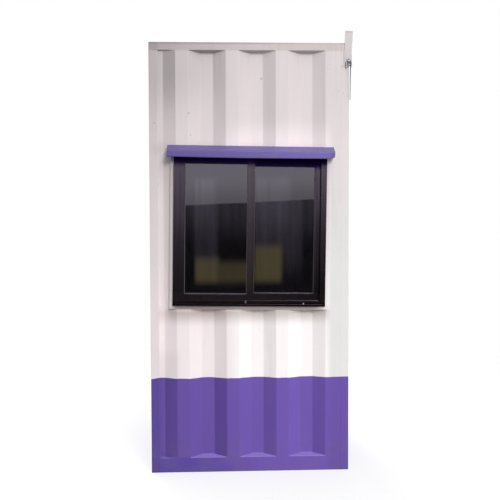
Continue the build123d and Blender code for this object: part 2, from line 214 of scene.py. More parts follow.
# %% [markdown]
# ## World and lamps
# Soft daylight suits painted steel. The world is an overcast sky: dim all round and bright in a
# broad patch high up, so what faces up is light and what faces down is dark. A veiled sun stands
# low in front and a little to the right. It makes the left slope of every groove brighter than
# the right one, and the hood shades the head of the window. A softbox at the right lifts the
# lower half. The same lights stand behind the booth, for views from the back. Only camera,
# mirror and glass rays see a pure white world, which gives the white background without more
# light on the object.

# %% World
SKY_PATCH = Vector((0.26, 0.44, 0.86)).normalized()
SKY_ALL_ROUND, SKY_AT_PATCH = 0.17, 1.9

scene.world = bpy.data.worlds.new("overcast")
r = recipe_for(scene.world)
x, y, z = r.xyz(r.add("TexCoord", out="Generated"))
way = r.add("CombineXYZ", {0: x * (y.math("SIGN") * -1.0), 1: abs(y), 2: z})
near = r.add("VectorMath", {0: way, 1: SKY_PATCH}, out="Value", operation="DOT_PRODUCT")
sky = near.larger(0.0).math("POWER", 6.0) * SKY_AT_PATCH + SKY_ALL_ROUND
path = r.wires("LightPath")
seen = path["Is Camera Ray"].larger(path["Is Glossy Ray"]).larger(path["Is Transmission Ray"])
fill = r.add("Background", {"Color": (0.98, 0.985, 1.0, 1), "Strength": sky})
white = r.add("Background", {"Color": (1, 1, 1, 1), "Strength": 1.0})
r.node("OutputWorld", {"Surface": r.add("MixShader", {0: seen, 1: fill, 2: white})})
print("the sky is brightest at", round(math.degrees(math.asin(SKY_PATCH.z))), "degrees")


# %% Lamps
def new_lamp(name, kind, energy, place, **options):
    """A lamp that glass doesn't show."""
    data = bpy.data.lights.new(name, kind)
    data.energy = energy
    for key, value in options.items():
        setattr(data, key, value)
    lamp = stand(name, data, place)
    lamp.visible_transmission = False
    return lamp


SUN_HEIGHT, SUN_SPREAD, SUN = 25, 18, 1.65
for name, azimuth in (("front_sun", 14), ("back_sun", 194)):  # 0 is the front, 90 the right
    aim = turned(azimuth, "Z") @ turned(90 - SUN_HEIGHT, "X")
    new_lamp(name, "SUN", SUN, aim, angle=math.radians(SUN_SPREAD), color=(1, 0.985, 0.975))

BOX = {"shape": "RECTANGLE", "size": 1.2, "size_y": 1.4}
for name, place, target, hue in (
    ("key", (3.0, -3.2, 0.8), (0.1, -0.6, 0.8), (1, 0.98, 0.96)),
    ("back_key", (-3.0, 3.2, 0.8), (0, 0.6, 0.8), (1, 1, 1)),
):
    aim = (Vector(target) - Vector(place)).to_track_quat("-Z", "Y").to_matrix().to_4x4()
    box = new_lamp(name, "AREA", 34, Matrix.Translation(place) @ aim, color=hue, **BOX)
    box.visible_glossy = False
print("two suns and two softboxes")

# %% [markdown]
# ## Working as by hand
# Each new piece starts as a primitive and is shaped in edit mode with the same operators that a
# person would press. An operator works on whatever is selected, so a few helpers select one
# piece, or the faces and edges of it that pass a test on their place or direction.
#
# A wall's pieces are drawn as seen from outside: x to the right of its middle, y into the wall
# from the plane of its flats, z up from the ground. They are then turned to their side.

# %% Selecting and settling
MM = 0.001


def only(piece):
    """Selects one piece and nothing else."""
    if bpy.context.object and bpy.context.object.mode == "EDIT":
        bpy.ops.object.mode_set(mode="OBJECT")
    bpy.ops.object.select_all(action="DESELECT")
    piece.select_set(True)
    bpy.context.view_layer.objects.active = piece
    return piece


def settle(piece):
    """Bakes a piece's place, turn and size into its mesh."""
    only(piece)
    bpy.ops.object.transform_apply(location=True, rotation=True, scale=True)
    return piece


def put(piece, matrix):
    """Moves a piece by a matrix and bakes it in."""
    piece.matrix_world = matrix
    return settle(piece)


def new_piece(kind, name, **options):
    """A new primitive at its size and place."""
    bpy.ops.object.select_all(action="DESELECT")
    getattr(bpy.ops.mesh, f"primitive_{kind}_add")(**options)
    piece = bpy.context.object
    piece.name = piece.data.name = name
    return settle(piece)


print("one unit is", 1 / MM, "mm")


# %% In edit mode
def edit(piece):
    """Opens a piece for editing, all selected."""
    only(piece)
    bpy.ops.object.mode_set(mode="EDIT")
    bpy.context.tool_settings.mesh_select_mode = (True, False, False)
    bpy.ops.mesh.select_all(action="SELECT")


def leave():
    bpy.ops.object.mode_set(mode="OBJECT")


def pick(kind, test):
    """Selects the verts, edges or faces that pass a test, and counts them."""
    modes = [kind == each for each in ("verts", "edges", "faces")]
    bpy.context.tool_settings.mesh_select_mode = modes
    bpy.ops.mesh.select_all(action="DESELECT")
    mesh = bmesh.from_edit_mesh(bpy.context.object.data)
    chosen = [part for part in getattr(mesh, kind) if test(part)]
    for part in chosen:
        part.select_set(True)
    mesh.select_flush_mode()
    bmesh.update_edit_mesh(bpy.context.object.data)
    return len(chosen)


def move(x, y, z):
    bpy.ops.transform.translate(value=(x, y, z))


def pull(x, y, z):
    """Extrudes what is selected."""
    bpy.ops.mesh.extrude_region_move(TRANSFORM_OT_translate={"value": (x, y, z)})


print("parts are picked by a test, then moved or pulled")


# %% Cuts, steps and tests
def cut(point, normal, clear=False, fill=False):
    """Cuts all of the piece by a plane, and may remove what is past it."""
    bpy.ops.mesh.select_all(action="SELECT")
    bpy.ops.mesh.bisect(plane_co=point, plane_no=normal, clear_outer=clear, use_fill=fill)


def step_out(steps, outward):
    """Insets what is selected and moves it outward, once for each pair of mm."""
    for inset, out in steps:
        bpy.ops.mesh.inset(thickness=inset * MM)
        move(*(Vector(outward) * out * MM))


def make_sound(doubles=0.0):
    """Merges doubles, and points all faces outwards."""
    bpy.ops.mesh.select_all(action="SELECT")
    if doubles:
        bpy.ops.mesh.remove_doubles(threshold=doubles)
    bpy.ops.mesh.normals_make_consistent(inside=False)


def middle(part):
    """The middle of an edge or face."""
    return sum((v.co for v in part.verts), Vector()) / len(part.verts)


def folded(angle):
    """A test for edges whose two faces turn by more than an angle."""
    return lambda e: len(e.link_faces) == 2 and e.calc_face_angle() > angle


print("modelling helpers are ready")


# %% Modifiers and shading
def modify(piece, kind, **options):
    """Adds a modifier, sets it and applies it."""
    only(piece)
    bpy.ops.object.modifier_add(type=kind)
    modifier = piece.modifiers[-1]
    for key, value in options.items():
        setattr(modifier, key, value)
    bpy.ops.object.modifier_apply(modifier=modifier.name)


def smooth(piece, angle=50, flats=False):
    """Shades a piece smoothly up to an angle, and may keep its flats looking flat."""
    only(piece)
    bpy.ops.object.shade_smooth_by_angle(angle=math.radians(angle))
    if flats:
        modify(piece, "WEIGHTED_NORMAL", weight=100, keep_sharp=True)
    return piece


def soften(piece, width):
    """Rounds every sharp edge."""
    limit = {"limit_method": "ANGLE", "angle_limit": math.radians(30)}
    modify(piece, "BEVEL", width=width, segments=2, **limit)
    return smooth(piece, 40, flats=True)


def thicken(piece, thickness):
    """Gives a sheet its thickness on the inner side."""
    modify(piece, "SOLIDIFY", thickness=thickness, offset=-1, use_even_offset=True)
    return smooth(piece, 35, flats=True)


print("modifiers are applied as soon as they are set")


# %% Placing, copying and hand-over
def place_on(piece, side):
    """Turns a wall's piece to its side of the booth."""
    return put(piece, turned(side, "Z") @ Matrix.Translation((0, -WALL_OUT, 0)))


def copy_of(piece, name):
    """A copy with its own mesh."""
    twin = piece.copy()
    twin.data = piece.data.copy()
    twin.name = twin.data.name = name
    scene.collection.objects.link(twin)
    return twin


def join(name, pieces):
    """Joins pieces into the first one."""
    only(pieces[0])
    for piece in pieces[1:]:
        piece.select_set(True)
    if len(pieces) > 1:
        bpy.ops.object.join()
    pieces[0].name = pieces[0].data.name = name
    return pieces[0]


def hand_over(piece, material, slot, *replaced):
    """Gives a finished piece its material, and the construction it stands for; the slot is not
    used.
    """
    piece.data.materials.clear()
    piece.data.materials.append(material)
    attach(piece, "root")
    if replaced:
        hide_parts(*replaced)
    print(f"{piece.name}: {len(piece.data.polygons)} faces, in {material.name}")
    return piece


FRONT, RIGHT, BACK, LEFT = 0, 90, 180, 270  # degrees round the booth
print("walls stand at", FRONT, RIGHT, BACK, LEFT, "degrees")

# %% [markdown]
# ## Floor and dark flag
# The floor is a pale disc that fades out at its rim, so that it joins the white background
# without a horizon, and it still takes the booth's soft shadow. A flag is a glowing sheet hung
# behind the camera that paints reflections: here it darkens the lower half of the window glass up
# to eye height, as a row of dark buildings would. It is a little paler towards its top and in two
# broad stripes, and it has three low ochre boards, painted reflections of a yard wall, so that the
# panes don't go dead. Above that it is a band of haze, which grows paler upward into the sky. Only
# mirror rays see it.

# %% Floor
FLOOR_RADIUS = 5.0
floor = new_piece("circle", "floor", vertices=96, radius=FLOOR_RADIUS, fill_type="TRIFAN")
finish, r = new_finish("studio_floor")
away = r.add("VectorMath", {0: r.place}, out="Value", operation="LENGTH")
paint = r.add("BsdfDiffuse", {"Color": (0.36, 0.36, 0.37, 1)})
glow = r.add("Emission", {"Color": (1, 1, 1, 1), "Strength": 0.62})
lifted = r.add("AddShader", {0: paint, 1: glow})
ray = r.add("LightPath", out="Is Camera Ray")
seen = r.add("MixShader", {0: ray, 1: paint, 2: lifted})
fade = away.span(1.6, FLOOR_RADIUS * 0.9)
disc = r.add("MixShader", {0: fade, 1: seen, 2: r.add("BsdfTransparent")})
r.node("OutputMaterial", {"Surface": disc})
floor.data.materials.append(finish)
floor.visible_glossy = False
print("floor disc", FLOOR_RADIUS, "m in radius")

# %% Flag
FLAG_AWAY = 8.4  # metres in front of the wall
FLAG_WIDE, FLAG_HIGH = 36, 16
SKYLINE, SKYLINE_LEAN = 1.66, -2.6  # height of the dark part in metres, and degrees
HAZE = 2.0  # metres of haze above it

upright = turned(SKYLINE_LEAN, "Y") @ turned(90, "X")
centre = Matrix.Translation((0, -WALL_OUT - FLAG_AWAY, SKYLINE + HAZE - FLAG_HIGH / 2))
flag = new_piece("plane", "flag", size=1)
put(flag, centre @ upright @ Matrix.Diagonal((FLAG_WIDE, FLAG_HIGH, 1, 1)))
# the flag glows with painted reflections
finish, r = new_finish("painted_reflections_cloth")
x, y, z = r.xyz(r.place)


def stripe(low, high):
    """A soft upright stripe on the cloth."""
    return x.span(low - 0.03, low + 0.03) * x.span(high + 0.05, high - 0.05)


level = z.span(0.95, 1.70, 0.006, 0.17)
PALE_STRIPES = (-0.43, -0.07, 0.45, 0.90, 0.10), (0.50, 1.23, 0.35, 1.05, 0.13)
for low, high, foot, top, more in PALE_STRIPES:
    level = stripe(low, high) * z.span(foot, top) * more + level
level = level * r.noise(0.12, 3, stretch=(1, 1, 12)).span(0.3, 0.7, 0.75, 1.25)
cloth = r.tint((0.92, 0.88, 1.0, 1), level)
ochre = 0.0
BOARDS = (-0.42, -0.04, 0.84, 0.80), (-0.10, 0.54, 0.78, 0.62), (0.50, 0.91, 1.02, 0.84)
for low, high, top, bright in BOARDS:
    ochre = (stripe(low, high) * z.span(top + 0.08, top - 0.10, 0.0, bright)).larger(ochre)
cloth = r.mix(ochre * z.span(0.38, 0.54), cloth, (0.45, 0.41, 0.16, 1))
over = x * math.tan(math.radians(SKYLINE_LEAN)) + z - (SKYLINE + 0.007)
cloth = r.mix(over.span(-0.004, 0.004), cloth, over.span(0.0, 0.40, 0.71, 1.08))
r.node("OutputMaterial", {"Surface": r.add("Emission", {"Color": cloth, "Strength": 1.0})})
flag.data.materials.append(finish)
for sight in ("camera", "diffuse", "transmission", "volume_scatter", "shadow"):
    setattr(flag, "visible_" + sight, False)
print("flag up to eye height,", FLAG_AWAY, "m away")

# %% [markdown]
# # Finishes
# Paint on steel is never one flat colour. Light patches, rain streaks, dust where water dries and
# a few chips break it up, and its skin has orange peel from the spray gun. Every painted or
# coated surface here shares those effects, so they are node groups: built once, with named
# sockets, and placed in each material with values of its own. Heights are in metres.

# %% Helpers for node groups and materials
def new_group(name, **inputs):
    """A node group with named inputs, and what comes in by each."""
    tree = bpy.data.node_groups.new(name, "ShaderNodeTree")
    labels = {key: key.replace("_", " ") for key in inputs}
    for key, value in inputs.items():
        kind = "NodeSocketFloat" if isinstance(value, float) else "NodeSocketColor"
        socket = tree.interface.new_socket(labels[key], in_out="INPUT", socket_type=kind)
        socket.default_value = value
    r = Recipe(tree)
    given = tree.nodes.new("NodeGroupInput").outputs
    r.place = r.add("TexCoord", out="Object")
    return (r, *(Wire(r, given[label]) for label in labels.values()))


def give_out(r, **results):
    """Gives a group its named outputs, and returns the finished group."""
    for label in results:
        kind = "NodeSocketColor" if label == "Color" else "NodeSocketFloat"
        r.tree.interface.new_socket(label, in_out="OUTPUT", socket_type=kind)
    end = r.tree.nodes.new("NodeGroupOutput")
    for label, value in results.items():
        r.tree.links.new(value.socket, end.inputs[label])
    print(f"{r.tree.name}: {len(r.tree.nodes)} nodes")
    return r.tree


def shade(r, height, **inputs):
    """Ends a finish with one Principled shader, bumped by a height in metres."""
    sockets = {key.replace("_", " "): value for key, value in inputs.items()}
    sockets["Normal"] = r.add("Bump", {"Height": height, "Distance": 1.0})
    r.node("OutputMaterial", {"Surface": r.add("BsdfPrincipled", sockets)})


def colour(red, green, blue):
    """A colour given as on a paint card, from 0 to 255, made linear for the nodes."""
    return tuple(((v / 255 + 0.055) / 1.055) ** 2.4 for v in (red, green, blue)) + (1.0,)


# %% [markdown]
# ## Weathering
# The group reads Object coordinates. Every piece sits at the origin with its place in its mesh,
# so those are metres on the booth itself, and streaks and patches run on from piece to piece as
# they do on a real painted cabin. Rain streaks are noise pulled out tall, and dust settles low
# down and on what faces up.

# %% Weathering group
r, coat, dirt_colour, under, mottle, streaks, dust, chips, breakup, base_rough = new_group(
    "weathering",
    Color=(0.8, 0.8, 0.8, 1.0),
    Dirt_Color=colour(120, 108, 100),
    Under_Color=colour(70, 60, 58),
    Mottle=0.08,
    Streaks=0.3,
    Dust=0.3,
    Chips=0.3,
    Gloss_Breakup=0.12,
    Base_Roughness=0.42,
)
_, _, z = r.xyz(r.place)
_, _, up = r.xyz(r.add("NewGeometry", out="Normal"))
patches = r.noise(0.30, 4) - 0.5
specks = r.noise(0.022, 5, roughness=0.6) - 0.5
painted = r.tint(coat, patches * mottle + 1.0 + specks * (mottle * 0.7))
where = r.noise(0.22, 2, stretch=(1, 1, 3)).span(0.42, 0.68)
runs = r.noise(0.018, 3, stretch=(1, 1, 28)).span(0.50, 0.72) * where
low = z.span(0.34, 0.0) * r.noise(0.07, 4).span(0.30, 0.75)
settled = up.span(0.35, 0.95) * r.noise(0.12, 5).span(0.25, 0.70)
dirt = (runs * streaks).clamped().larger((low.larger(settled) * dust).clamped())
painted = r.mix(dirt, painted, dirt_colour)
flakes = r.noise(0.011, 2).span(0.735, 0.76) * r.noise(0.16, 2).span(0.52, 0.60)
chipped = (flakes * chips).clamped()
rough = patches * breakup + base_rough + dirt * 0.35
WEATHERING = give_out(
    r,
    Color=r.mix(chipped, painted, under),
    Roughness=(chipped * 0.2 + rough).clamped(),
    Height=chipped * -0.00018,
)

# %% [markdown]
# ## Worn edges and sprayed skin
# Paint thins on a sharp edge. A Bevel node gives the normal that a rounded edge would have, and
# where it turns away from the true one there is an edge; noise breaks that line up. The second
# group is the skin itself: orange peel a few millimetres across, and the slow swell of thin
# sheet, called oil canning, which bends reflections on a flat wall.

# %% Edge wear group
r, width, amount = new_group("edge_wear", Width=0.003, Amount=0.5)
rounded = r.add("Bevel", {"Radius": width}, samples=6)
normals = {0: rounded, 1: r.add("NewGeometry", out="Normal")}
same = r.add("VectorMath", normals, out="Value", operation="DOT_PRODUCT")
broken = r.noise(0.014, 4, roughness=0.65).span(0.50, 0.66)
EDGE_WEAR = give_out(r, Mask=(same.span(0.985, 0.86) * broken * amount).clamped())

# %% Sprayed skin group
r, peel, swell = new_group("sprayed_skin", Peel=0.00003, Swell=0.002)
swelling = r.noise(0.26, 1, stretch=(1, 1, 2.2)) * swell
SPRAYED_SKIN = give_out(r, Height=r.noise(0.004, 2) * peel + swelling)

# %% [markdown]
# ## Cabin paint
# One coat covers walls, posts and surrounds: off-white above, purple below a line that was cut in
# by hand, so it wanders a few millimetres and rises a little over the left post. One material
# holds both colours, because the line then runs unbroken over every piece. A group keeps it all
# together, so that sheets, posts and strap can differ in tone. Places are in metres on the booth.
#
# The coat's painted light and shade come first. The white is painted darker towards the roof,
# most of all at the left corner, in the first groove, on the grooves' left-facing slopes and on
# what faces down, under ledges: all painted shade. Those slopes are painted a little lighter at
# the upper right, the first groove is painted darker low down beside the post, and the window
# surround's flange is painted darker towards its left. Rain that splashes off the hood keeps a
# strip above it clean.

# %% Two-tone coat: painted light and shade
PAINT_LINE = 0.573  # metres above the ground
SLANT = math.tan(math.radians(0.85))  # how far the window hangs out of plumb

r, given_white, given_purple, given_tone, overspray = new_group(
    "two_tone_coat",
    White=colour(240, 230, 231), Purple=colour(103, 79, 163), Tone=1.0, Overspray=0.4,
)
x, y, z = r.xyz(r.place)
across, _, level = r.xyz(r.add("NewGeometry", out="Normal"))
facing_left = across.span(-0.05, -0.35) * across.span(-0.80, -0.60)
on_front = y.span(-0.50, -0.55)
past_post = x.span(-0.556, -0.548)

splashed = z.span(2.16, 1.99) * z.span(1.93, 1.96) * abs(x).span(0.53, 0.45)
splashed = splashed * on_front * x.span(-0.30, -0.02, 0.05, 0.20)
# painted shade at the upper left: under the roof rail, in the first groove, and twice as dark on
# left-facing slopes
painted_shade_top_left = x.span(0.05, -0.45) * z.span(2.10, 2.42) * (facing_left + 1.0)
painted_shade_top_left = x.span(-0.36, -0.50) * z.span(2.54, 2.56) * 0.7 + painted_shade_top_left
painted_shade_top_left = x.span(-0.52, -0.56) * z.span(1.95, 2.25) * 0.4 + painted_shade_top_left
painted_shade_top_left = facing_left * x.span(-0.40, -0.44) * z.span(1.90, 2.30) * 0.7 + painted_shade_top_left
# painted light: left-facing slopes at the upper right are a little lighter
painted_light_on_slopes = x.span(0.10, 0.30) * z.span(1.60, 2.00) * facing_left
# painted shade low in the first groove, beside the left post
painted_groove_shade = past_post * x.span(-0.41, -0.45) * z.span(0.78, 0.68, 0.0, 0.09)
proud = y.span(-0.6015, -0.6025)  # the window surround, which stands out of the wall
# painted shade on the window surround's flange, darker towards its left
painted_jamb_shade = proud * x.span(0.30, -0.45, 0.0, 0.13)

# painted shade: darker towards the top and on faces that point down; the splashed strip above the
# hood is lighter
painted_shade_and_splash = z.span(1.0, 2.5, 1.0, 0.80) * level.span(-0.3, -0.8, 1.0, 0.68) * (splashed + 1.0)
painted_shade_and_splash = painted_shade_and_splash * painted_shade_top_left.span(0.0, 3.0, 1.0, 0.58, kind="LINEAR") * (painted_light_on_slopes * 0.07 + 1.0)
painted_shade_and_splash = painted_shade_and_splash * (1.0 - painted_groove_shade) * (1.0 - painted_jamb_shade)
print("light and dark:", len(r.tree.nodes), "nodes")

# %% [markdown]
# Grime has a colour of its own. It lies in the band under the roof edge and where water stands in
# the roof's grooves. The same warm darkening is painted shade below the window sill and on the
# surround's lower flange, under the window frame.

# %% Two-tone coat: grime and painted shade
band = z.span(2.535, 2.550) * x.span(0.567, 0.562)
# painted shade below the window sill
painted_shade_below_sill = z.span(0.88, 0.980) * z.span(1.000, 0.970, 0.3, 1.0) * z.span(1.0125, 1.0120) * on_front
painted_shade_below_sill = painted_shade_below_sill * past_post * x.span(-0.52, -0.46, 0.45, 1.0) * x.span(0.50, 0.45)
pooled = level.span(0.80, 0.97) * z.span(2.584, 2.573) * z.span(2.550, 2.560)
tilted = x * SLANT + z
# painted shade on the surround's lower flange, under the window frame
painted_sill_shade = proud * tilted.span(0.984, 0.998) * tilted.span(1.022, 1.014)
painted_sill_shade = painted_sill_shade * x.span(-0.48, -0.44) * x.span(0.46, 0.38)
grime_and_shade = (1, 1, 1, 1)
for mask, darkened_colour in (
    (band, (0.835, 0.815, 0.795, 1)),
    (painted_shade_below_sill, (0.64, 0.605, 0.585, 1)),
    (pooled, (0.72, 0.69, 0.66, 1)),
    (painted_sill_shade, (0.41, 0.39, 0.385, 1)),
):
    grime_and_shade = r.mix(mask, grime_and_shade, darkened_colour)
print("with grime:", len(r.tree.nodes), "nodes")

# %% [markdown]
# The white is painted whiter at the lower right, a painted pool of light, and the right edge has
# had a newer, cooler coat.
# A thin lilac overspray lies along the roof edge, and a dark line shows where the roof rail meets
# the left post.

# %% Two-tone coat: white
# painted light: the white is lighter at the lower right
painted_light_lower_right = x.span(-0.15, -0.07, 0.0, 0.8) * z.span(1.60, 1.00)
white = r.mix(painted_light_lower_right, given_white, colour(251, 247, 246))
fresh = x.span(0.455, 0.500) * z.span(2.00, 1.35, 0.15, 1.0)
white = r.mix(fresh, white, colour(223, 223, 222))
white = r.tint(r.tint(white, painted_shade_and_splash), grime_and_shade)
edge = z.span(2.574, 2.586) * level.span(0.6, 0.2) * x.span(0.40, -0.10, 0.3, 1.0)
white = r.mix(edge * overspray, white, colour(122, 108, 152))
joint = x.span(-0.590, -0.575) * x.span(-0.545, -0.555) * on_front
joint = joint * abs(z - 2.543).span(0.0045, 0.001, 0.0, 0.4)
white = r.mix(joint, white, colour(112, 102, 104))
print("with the white:", len(r.tree.nodes), "nodes")

# %% [markdown]
# The purple is rubbed to a bluer, darker shade at the foot and the corner, and the same bluer,
# darker shade is painted shade on the left post and the grooves' left-facing slopes. The purple is
# painted darker at the left and lighter to the right, and darker on its left-facing slopes: painted
# shade. It is a little darker again at the right edge. The wedges at the grooves' feet, which face
# up, are painted pale: painted light from above. The whole coat is painted a little darker at the
# left, as painted shade, and is darker at the strap's tip.

# %% Two-tone coat: purple, and both together
# bluer and darker: rubbed at the foot and corner, painted shade on the left post and left-facing
# slopes
scuffed_and_shaded = z.span(0.100, 0.088) * x.span(0.10, -0.40, 0.0, 0.40)
for mask in (
    z.span(0.135, 0.115) * x.span(-0.44, -0.49, 0.0, 0.25),
    x.span(-0.545, -0.553, 0.0, 0.25),
    facing_left * x.span(0.05, -0.20, 0.0, 0.15),
):
    scuffed_and_shaded = scuffed_and_shaded.larger(mask)
# painted shade: darker at the left, lighter to the right, and darker on left-facing slopes
painted_shade_tone = x.span(-0.60, 0.25, 0.92, 1.09) - x.span(0.44, 0.52, 0.0, 0.12)
painted_shade_tone = facing_left * x.span(-0.30, 0.40, -0.13, -0.02) + painted_shade_tone
purple = r.mix(scuffed_and_shaded, r.tint(given_purple, painted_shade_tone), colour(70, 56, 150))
# painted light: the up-facing wedges at the grooves' feet are paler
painted_light_on_wedges = level.span(0.3, 0.8, 0.0, 0.85) * x.span(-0.50, -0.42, 0.3, 1.0)
purple = r.mix(painted_light_on_wedges, purple, colour(142, 120, 202))

wander = r.noise(0.13, 2, stretch=(1, 1, 6)) * 0.012 + (PAINT_LINE - 0.006)
wander = x.span(-0.60, -0.552) * x.span(-0.5450, -0.5460) * 0.006 + wander
both = r.mix((z - wander).span(-0.0012, 0.0012), purple, white)
# painted shade: the whole coat darker towards the left
painted_shade_leftward = x.span(0.15, -0.65, 0.0, 0.08) * z.span(0.80, 1.20, 0.35, 1.0)
tone = given_tone * (1.0 - painted_shade_leftward) - z.span(2.640, 2.660) * 0.16
TWO_TONE = give_out(r, Color=r.tint(both, tone))
print("the paint line is", PAINT_LINE, "m above the ground")

# %% [markdown]
# ## Knocks
# Six places on the front have been hit and have lost their paint down to the primer. They are
# drawn one by one, because random chips never fall where a real wall was knocked: a ragged spot
# wherever the distance to one of these points is small.

# %% Knocks group
KNOCKS = [  # x, z and radius on the front wall in metres, and how dark
    (-0.3645, 2.170, 0.008, 0.6),
    (-0.353, 2.041, 0.006, 0.5),
    (-0.570, 2.112, 0.008, 0.5),
    (0.073, 2.381, 0.008, 0.8),
    (0.539, 2.300, 0.008, 0.2),
    (0.560, 2.449, 0.017, 0.25),
]
r, depth = new_group("knocks", Depth=0.0002)
x, y, z = r.xyz(r.place)
flat = r.add("CombineXYZ", {0: x, 1: z})
ragged = (r.noise(0.006, 3) - 0.5) * 0.008
knocked = 0.0
for across, up, radius, dark in KNOCKS:
    ends = {0: flat, 1: (across, up, 0)}
    away = r.add("VectorMath", ends, out="Value", operation="DISTANCE")
    knocked = (away + ragged).span(radius, radius * 0.3, 0.0, dark).larger(knocked)
knocked = knocked * y.span(-0.50, -0.55)
KNOCKED = give_out(r, Mask=knocked, Height=knocked * (depth * -1.0))


# %% Paint for sheets, posts, trim and strap
def cabin_coat(name, tone, overspray, swell):
    """A cabin paint of its own tone, with its own share of overspray and of sheet swell."""
    material, r = new_finish(name)
    coat = r.use(TWO_TONE, Tone=tone, Overspray=overspray)["Color"]
    values = {"Mottle": 0.06, "Streaks": 0.08, "Dust": 0.15, "Chips": 0.45, "Base_Roughness": 0.38}
    weather = r.use(WEATHERING, Color=coat, **values)
    edge_mask = r.use(EDGE_WEAR, Width=0.004, Amount=0.5)["Mask"]
    skin = r.use(SPRAYED_SKIN, Peel=0.00004, Swell=swell)
    knocks = r.use(KNOCKED, Depth=0.0003)
    finish = r.mix(edge_mask * 0.4, weather["Color"], colour(112, 100, 98))
    finish = r.mix(knocks["Mask"] * 0.8, finish, colour(118, 106, 104))
    height = weather["Height"] + (skin["Height"] + knocks["Height"])
    shade(r, height, Base_Color=finish, Roughness=weather["Roughness"], Specular_IOR_Level=0.42)
    return material


cabin_paint = cabin_coat("cabin_paint", 1.0, 0.5, 0.003)
# painted shade: the left corner posts' coat is 10% darker
painted_shade_post = cabin_coat("painted_shade_post", 0.90, 0.5, 0.0)
strap_paint = cabin_coat("strap_paint", 0.92, 0.0, 0.0)
trim_paint = cabin_coat("trim_paint", 0.93, 0.0, 0.0)
print("four cabin coats")

# %% [markdown]
# ## Hood paint
# The rain hood is brighter and cleaner than the dado: a fresh, slightly milky purple with a
# satin skin. Dust lies on its sloping top. Its purple is painted darker towards the left end, as
# painted shade, and its folds are painted pale, where the coat is thin and as a painted highlight.

# %% Hood paint
hood_paint, r = new_finish("hood_paint")
x, _, _ = r.xyz(r.place)
# painted shade: the hood's purple is darker towards its left end
coat = r.mix(x.span(-0.45, 0.40), colour(90, 74, 144), colour(102, 88, 162))
weather = r.use(
    WEATHERING, Color=coat, Mottle=0.10, Streaks=0.12, Dust=0.16, Chips=0.4, Base_Roughness=0.36
)
edge_mask = r.use(EDGE_WEAR, Width=0.006, Amount=0.8)["Mask"]
skin = r.use(SPRAYED_SKIN, Peel=0.00003, Swell=0.0015)["Height"]
# paler folds: thin coat and a painted highlight
finish = r.mix(edge_mask * 0.45, weather["Color"], colour(168, 158, 205))
shade(r, weather["Height"] + skin, Base_Color=finish, Roughness=weather["Roughness"])
print("hood paint is ready")

# %% [markdown]
# ## Black aluminium
# The window's bars are extruded aluminium, anodised black with a violet cast. Anodising is a dye
# in a clear skin on metal, so it is made as a metal with a very dark colour. Fine drawn lines run
# along the bars and their arrises are rubbed to a warm grey. The bar where the sashes meet is
# handled, dust lies along the lower rails, and the sill has browned. Close under the hood the
# bars are painted near black and made dull: painted shade where the hood shades them.

# %% Black aluminium
black_aluminium, r = new_finish("black_aluminium")
x, y, z = r.xyz(r.place)
from_sill = x * SLANT + z
# painted shade close under the hood, reaching lower on bars set further back
painted_hood_shade = ((y + 0.62) * 0.4 + from_sill).span(1.838, 1.876)
middle_bar = abs(z * -0.0148 + x + 0.017)
handled = middle_bar.span(0.034, 0.026) * z.span(1.05, 1.20, 0.3, 1.0)
dusty = from_sill.span(1.105, 1.085) * from_sill.span(1.030, 1.045, 0.0, 0.5)
drawn = r.noise(0.010, 3, stretch=(1, 1, 60)).span(0.3, 0.7)
dye = r.mix(drawn, colour(76, 68, 80), colour(90, 81, 94))
dye = r.mix(handled * 0.4, dye, colour(95, 86, 87))
dye = r.mix(from_sill.span(1.038, 1.030), dye, colour(66, 50, 54))
weather = r.use(
    WEATHERING,
    Color=r.mix(painted_hood_shade, dye, colour(20, 8, 44)),
    Dirt_Color=colour(70, 62, 64),
    Under_Color=colour(120, 116, 118),
    Mottle=0.3,
    Streaks=0.08,
    Dust=0.12,
    Chips=0.25,
    Gloss_Breakup=0.05,
    Base_Roughness=0.19,
)
edge_mask = r.use(EDGE_WEAR, Width=0.0015, Amount=0.7)["Mask"]
shade(
    r,
    weather["Height"] + r.noise(0.0016, 2) * 0.000004,
    Base_Color=r.mix(edge_mask * 0.35, weather["Color"], colour(110, 102, 106)),
    Metallic=handled.larger(dusty).span(0.0, 1.0, 1.0, 0.94),
    Roughness=painted_hood_shade * 0.25 + weather["Roughness"],
)
print("aluminium is ready")

# %% [markdown]
# ## Glass
# The panes are tinted glass with a mirror film, which is why they show the sky so strongly. The
# film is wiped, and never evenly, so the coat that carries it is stronger in two broad upright
# wipes.

# %% Tinted glass
tinted_glass, r = new_finish("tinted_glass")
x, y, z = r.xyz(r.place)
wander = (r.noise(0.2, 2) - 0.5) * 0.03 + x
film = 0.0
for low, high in ((-0.325, -0.20), (0.045, 0.25)):
    wipe = wander.span(low - 0.012, low + 0.008) * wander.span(high + 0.015, high - 0.015)
    film = wipe.larger(film)
film = film * z.span(1.81, 1.75) * r.noise(0.03, 3, stretch=(1, 1, 30)).span(0.3, 0.65, 0.35, 1.0)
shade(
    r,
    r.noise(0.35, 1) * 0.00012,
    Base_Color=r.mix(r.noise(0.25, 2).span(0.3, 0.7), colour(56, 53, 58), colour(68, 64, 68)),
    Roughness=r.noise(0.02, 3, stretch=(1, 1, 8)).span(0.35, 0.85, 0.01, 0.03),
    IOR=2.08,
    Specular_Tint=(0.91, 0.84, 1.0, 1.0),
    Transmission_Weight=1.0,
    Coat_Weight=film * 0.85 + 0.05,
    Coat_Roughness=0.03,
    Coat_Tint=(0.97, 0.94, 1.0, 1.0),
)
print("glass is ready")

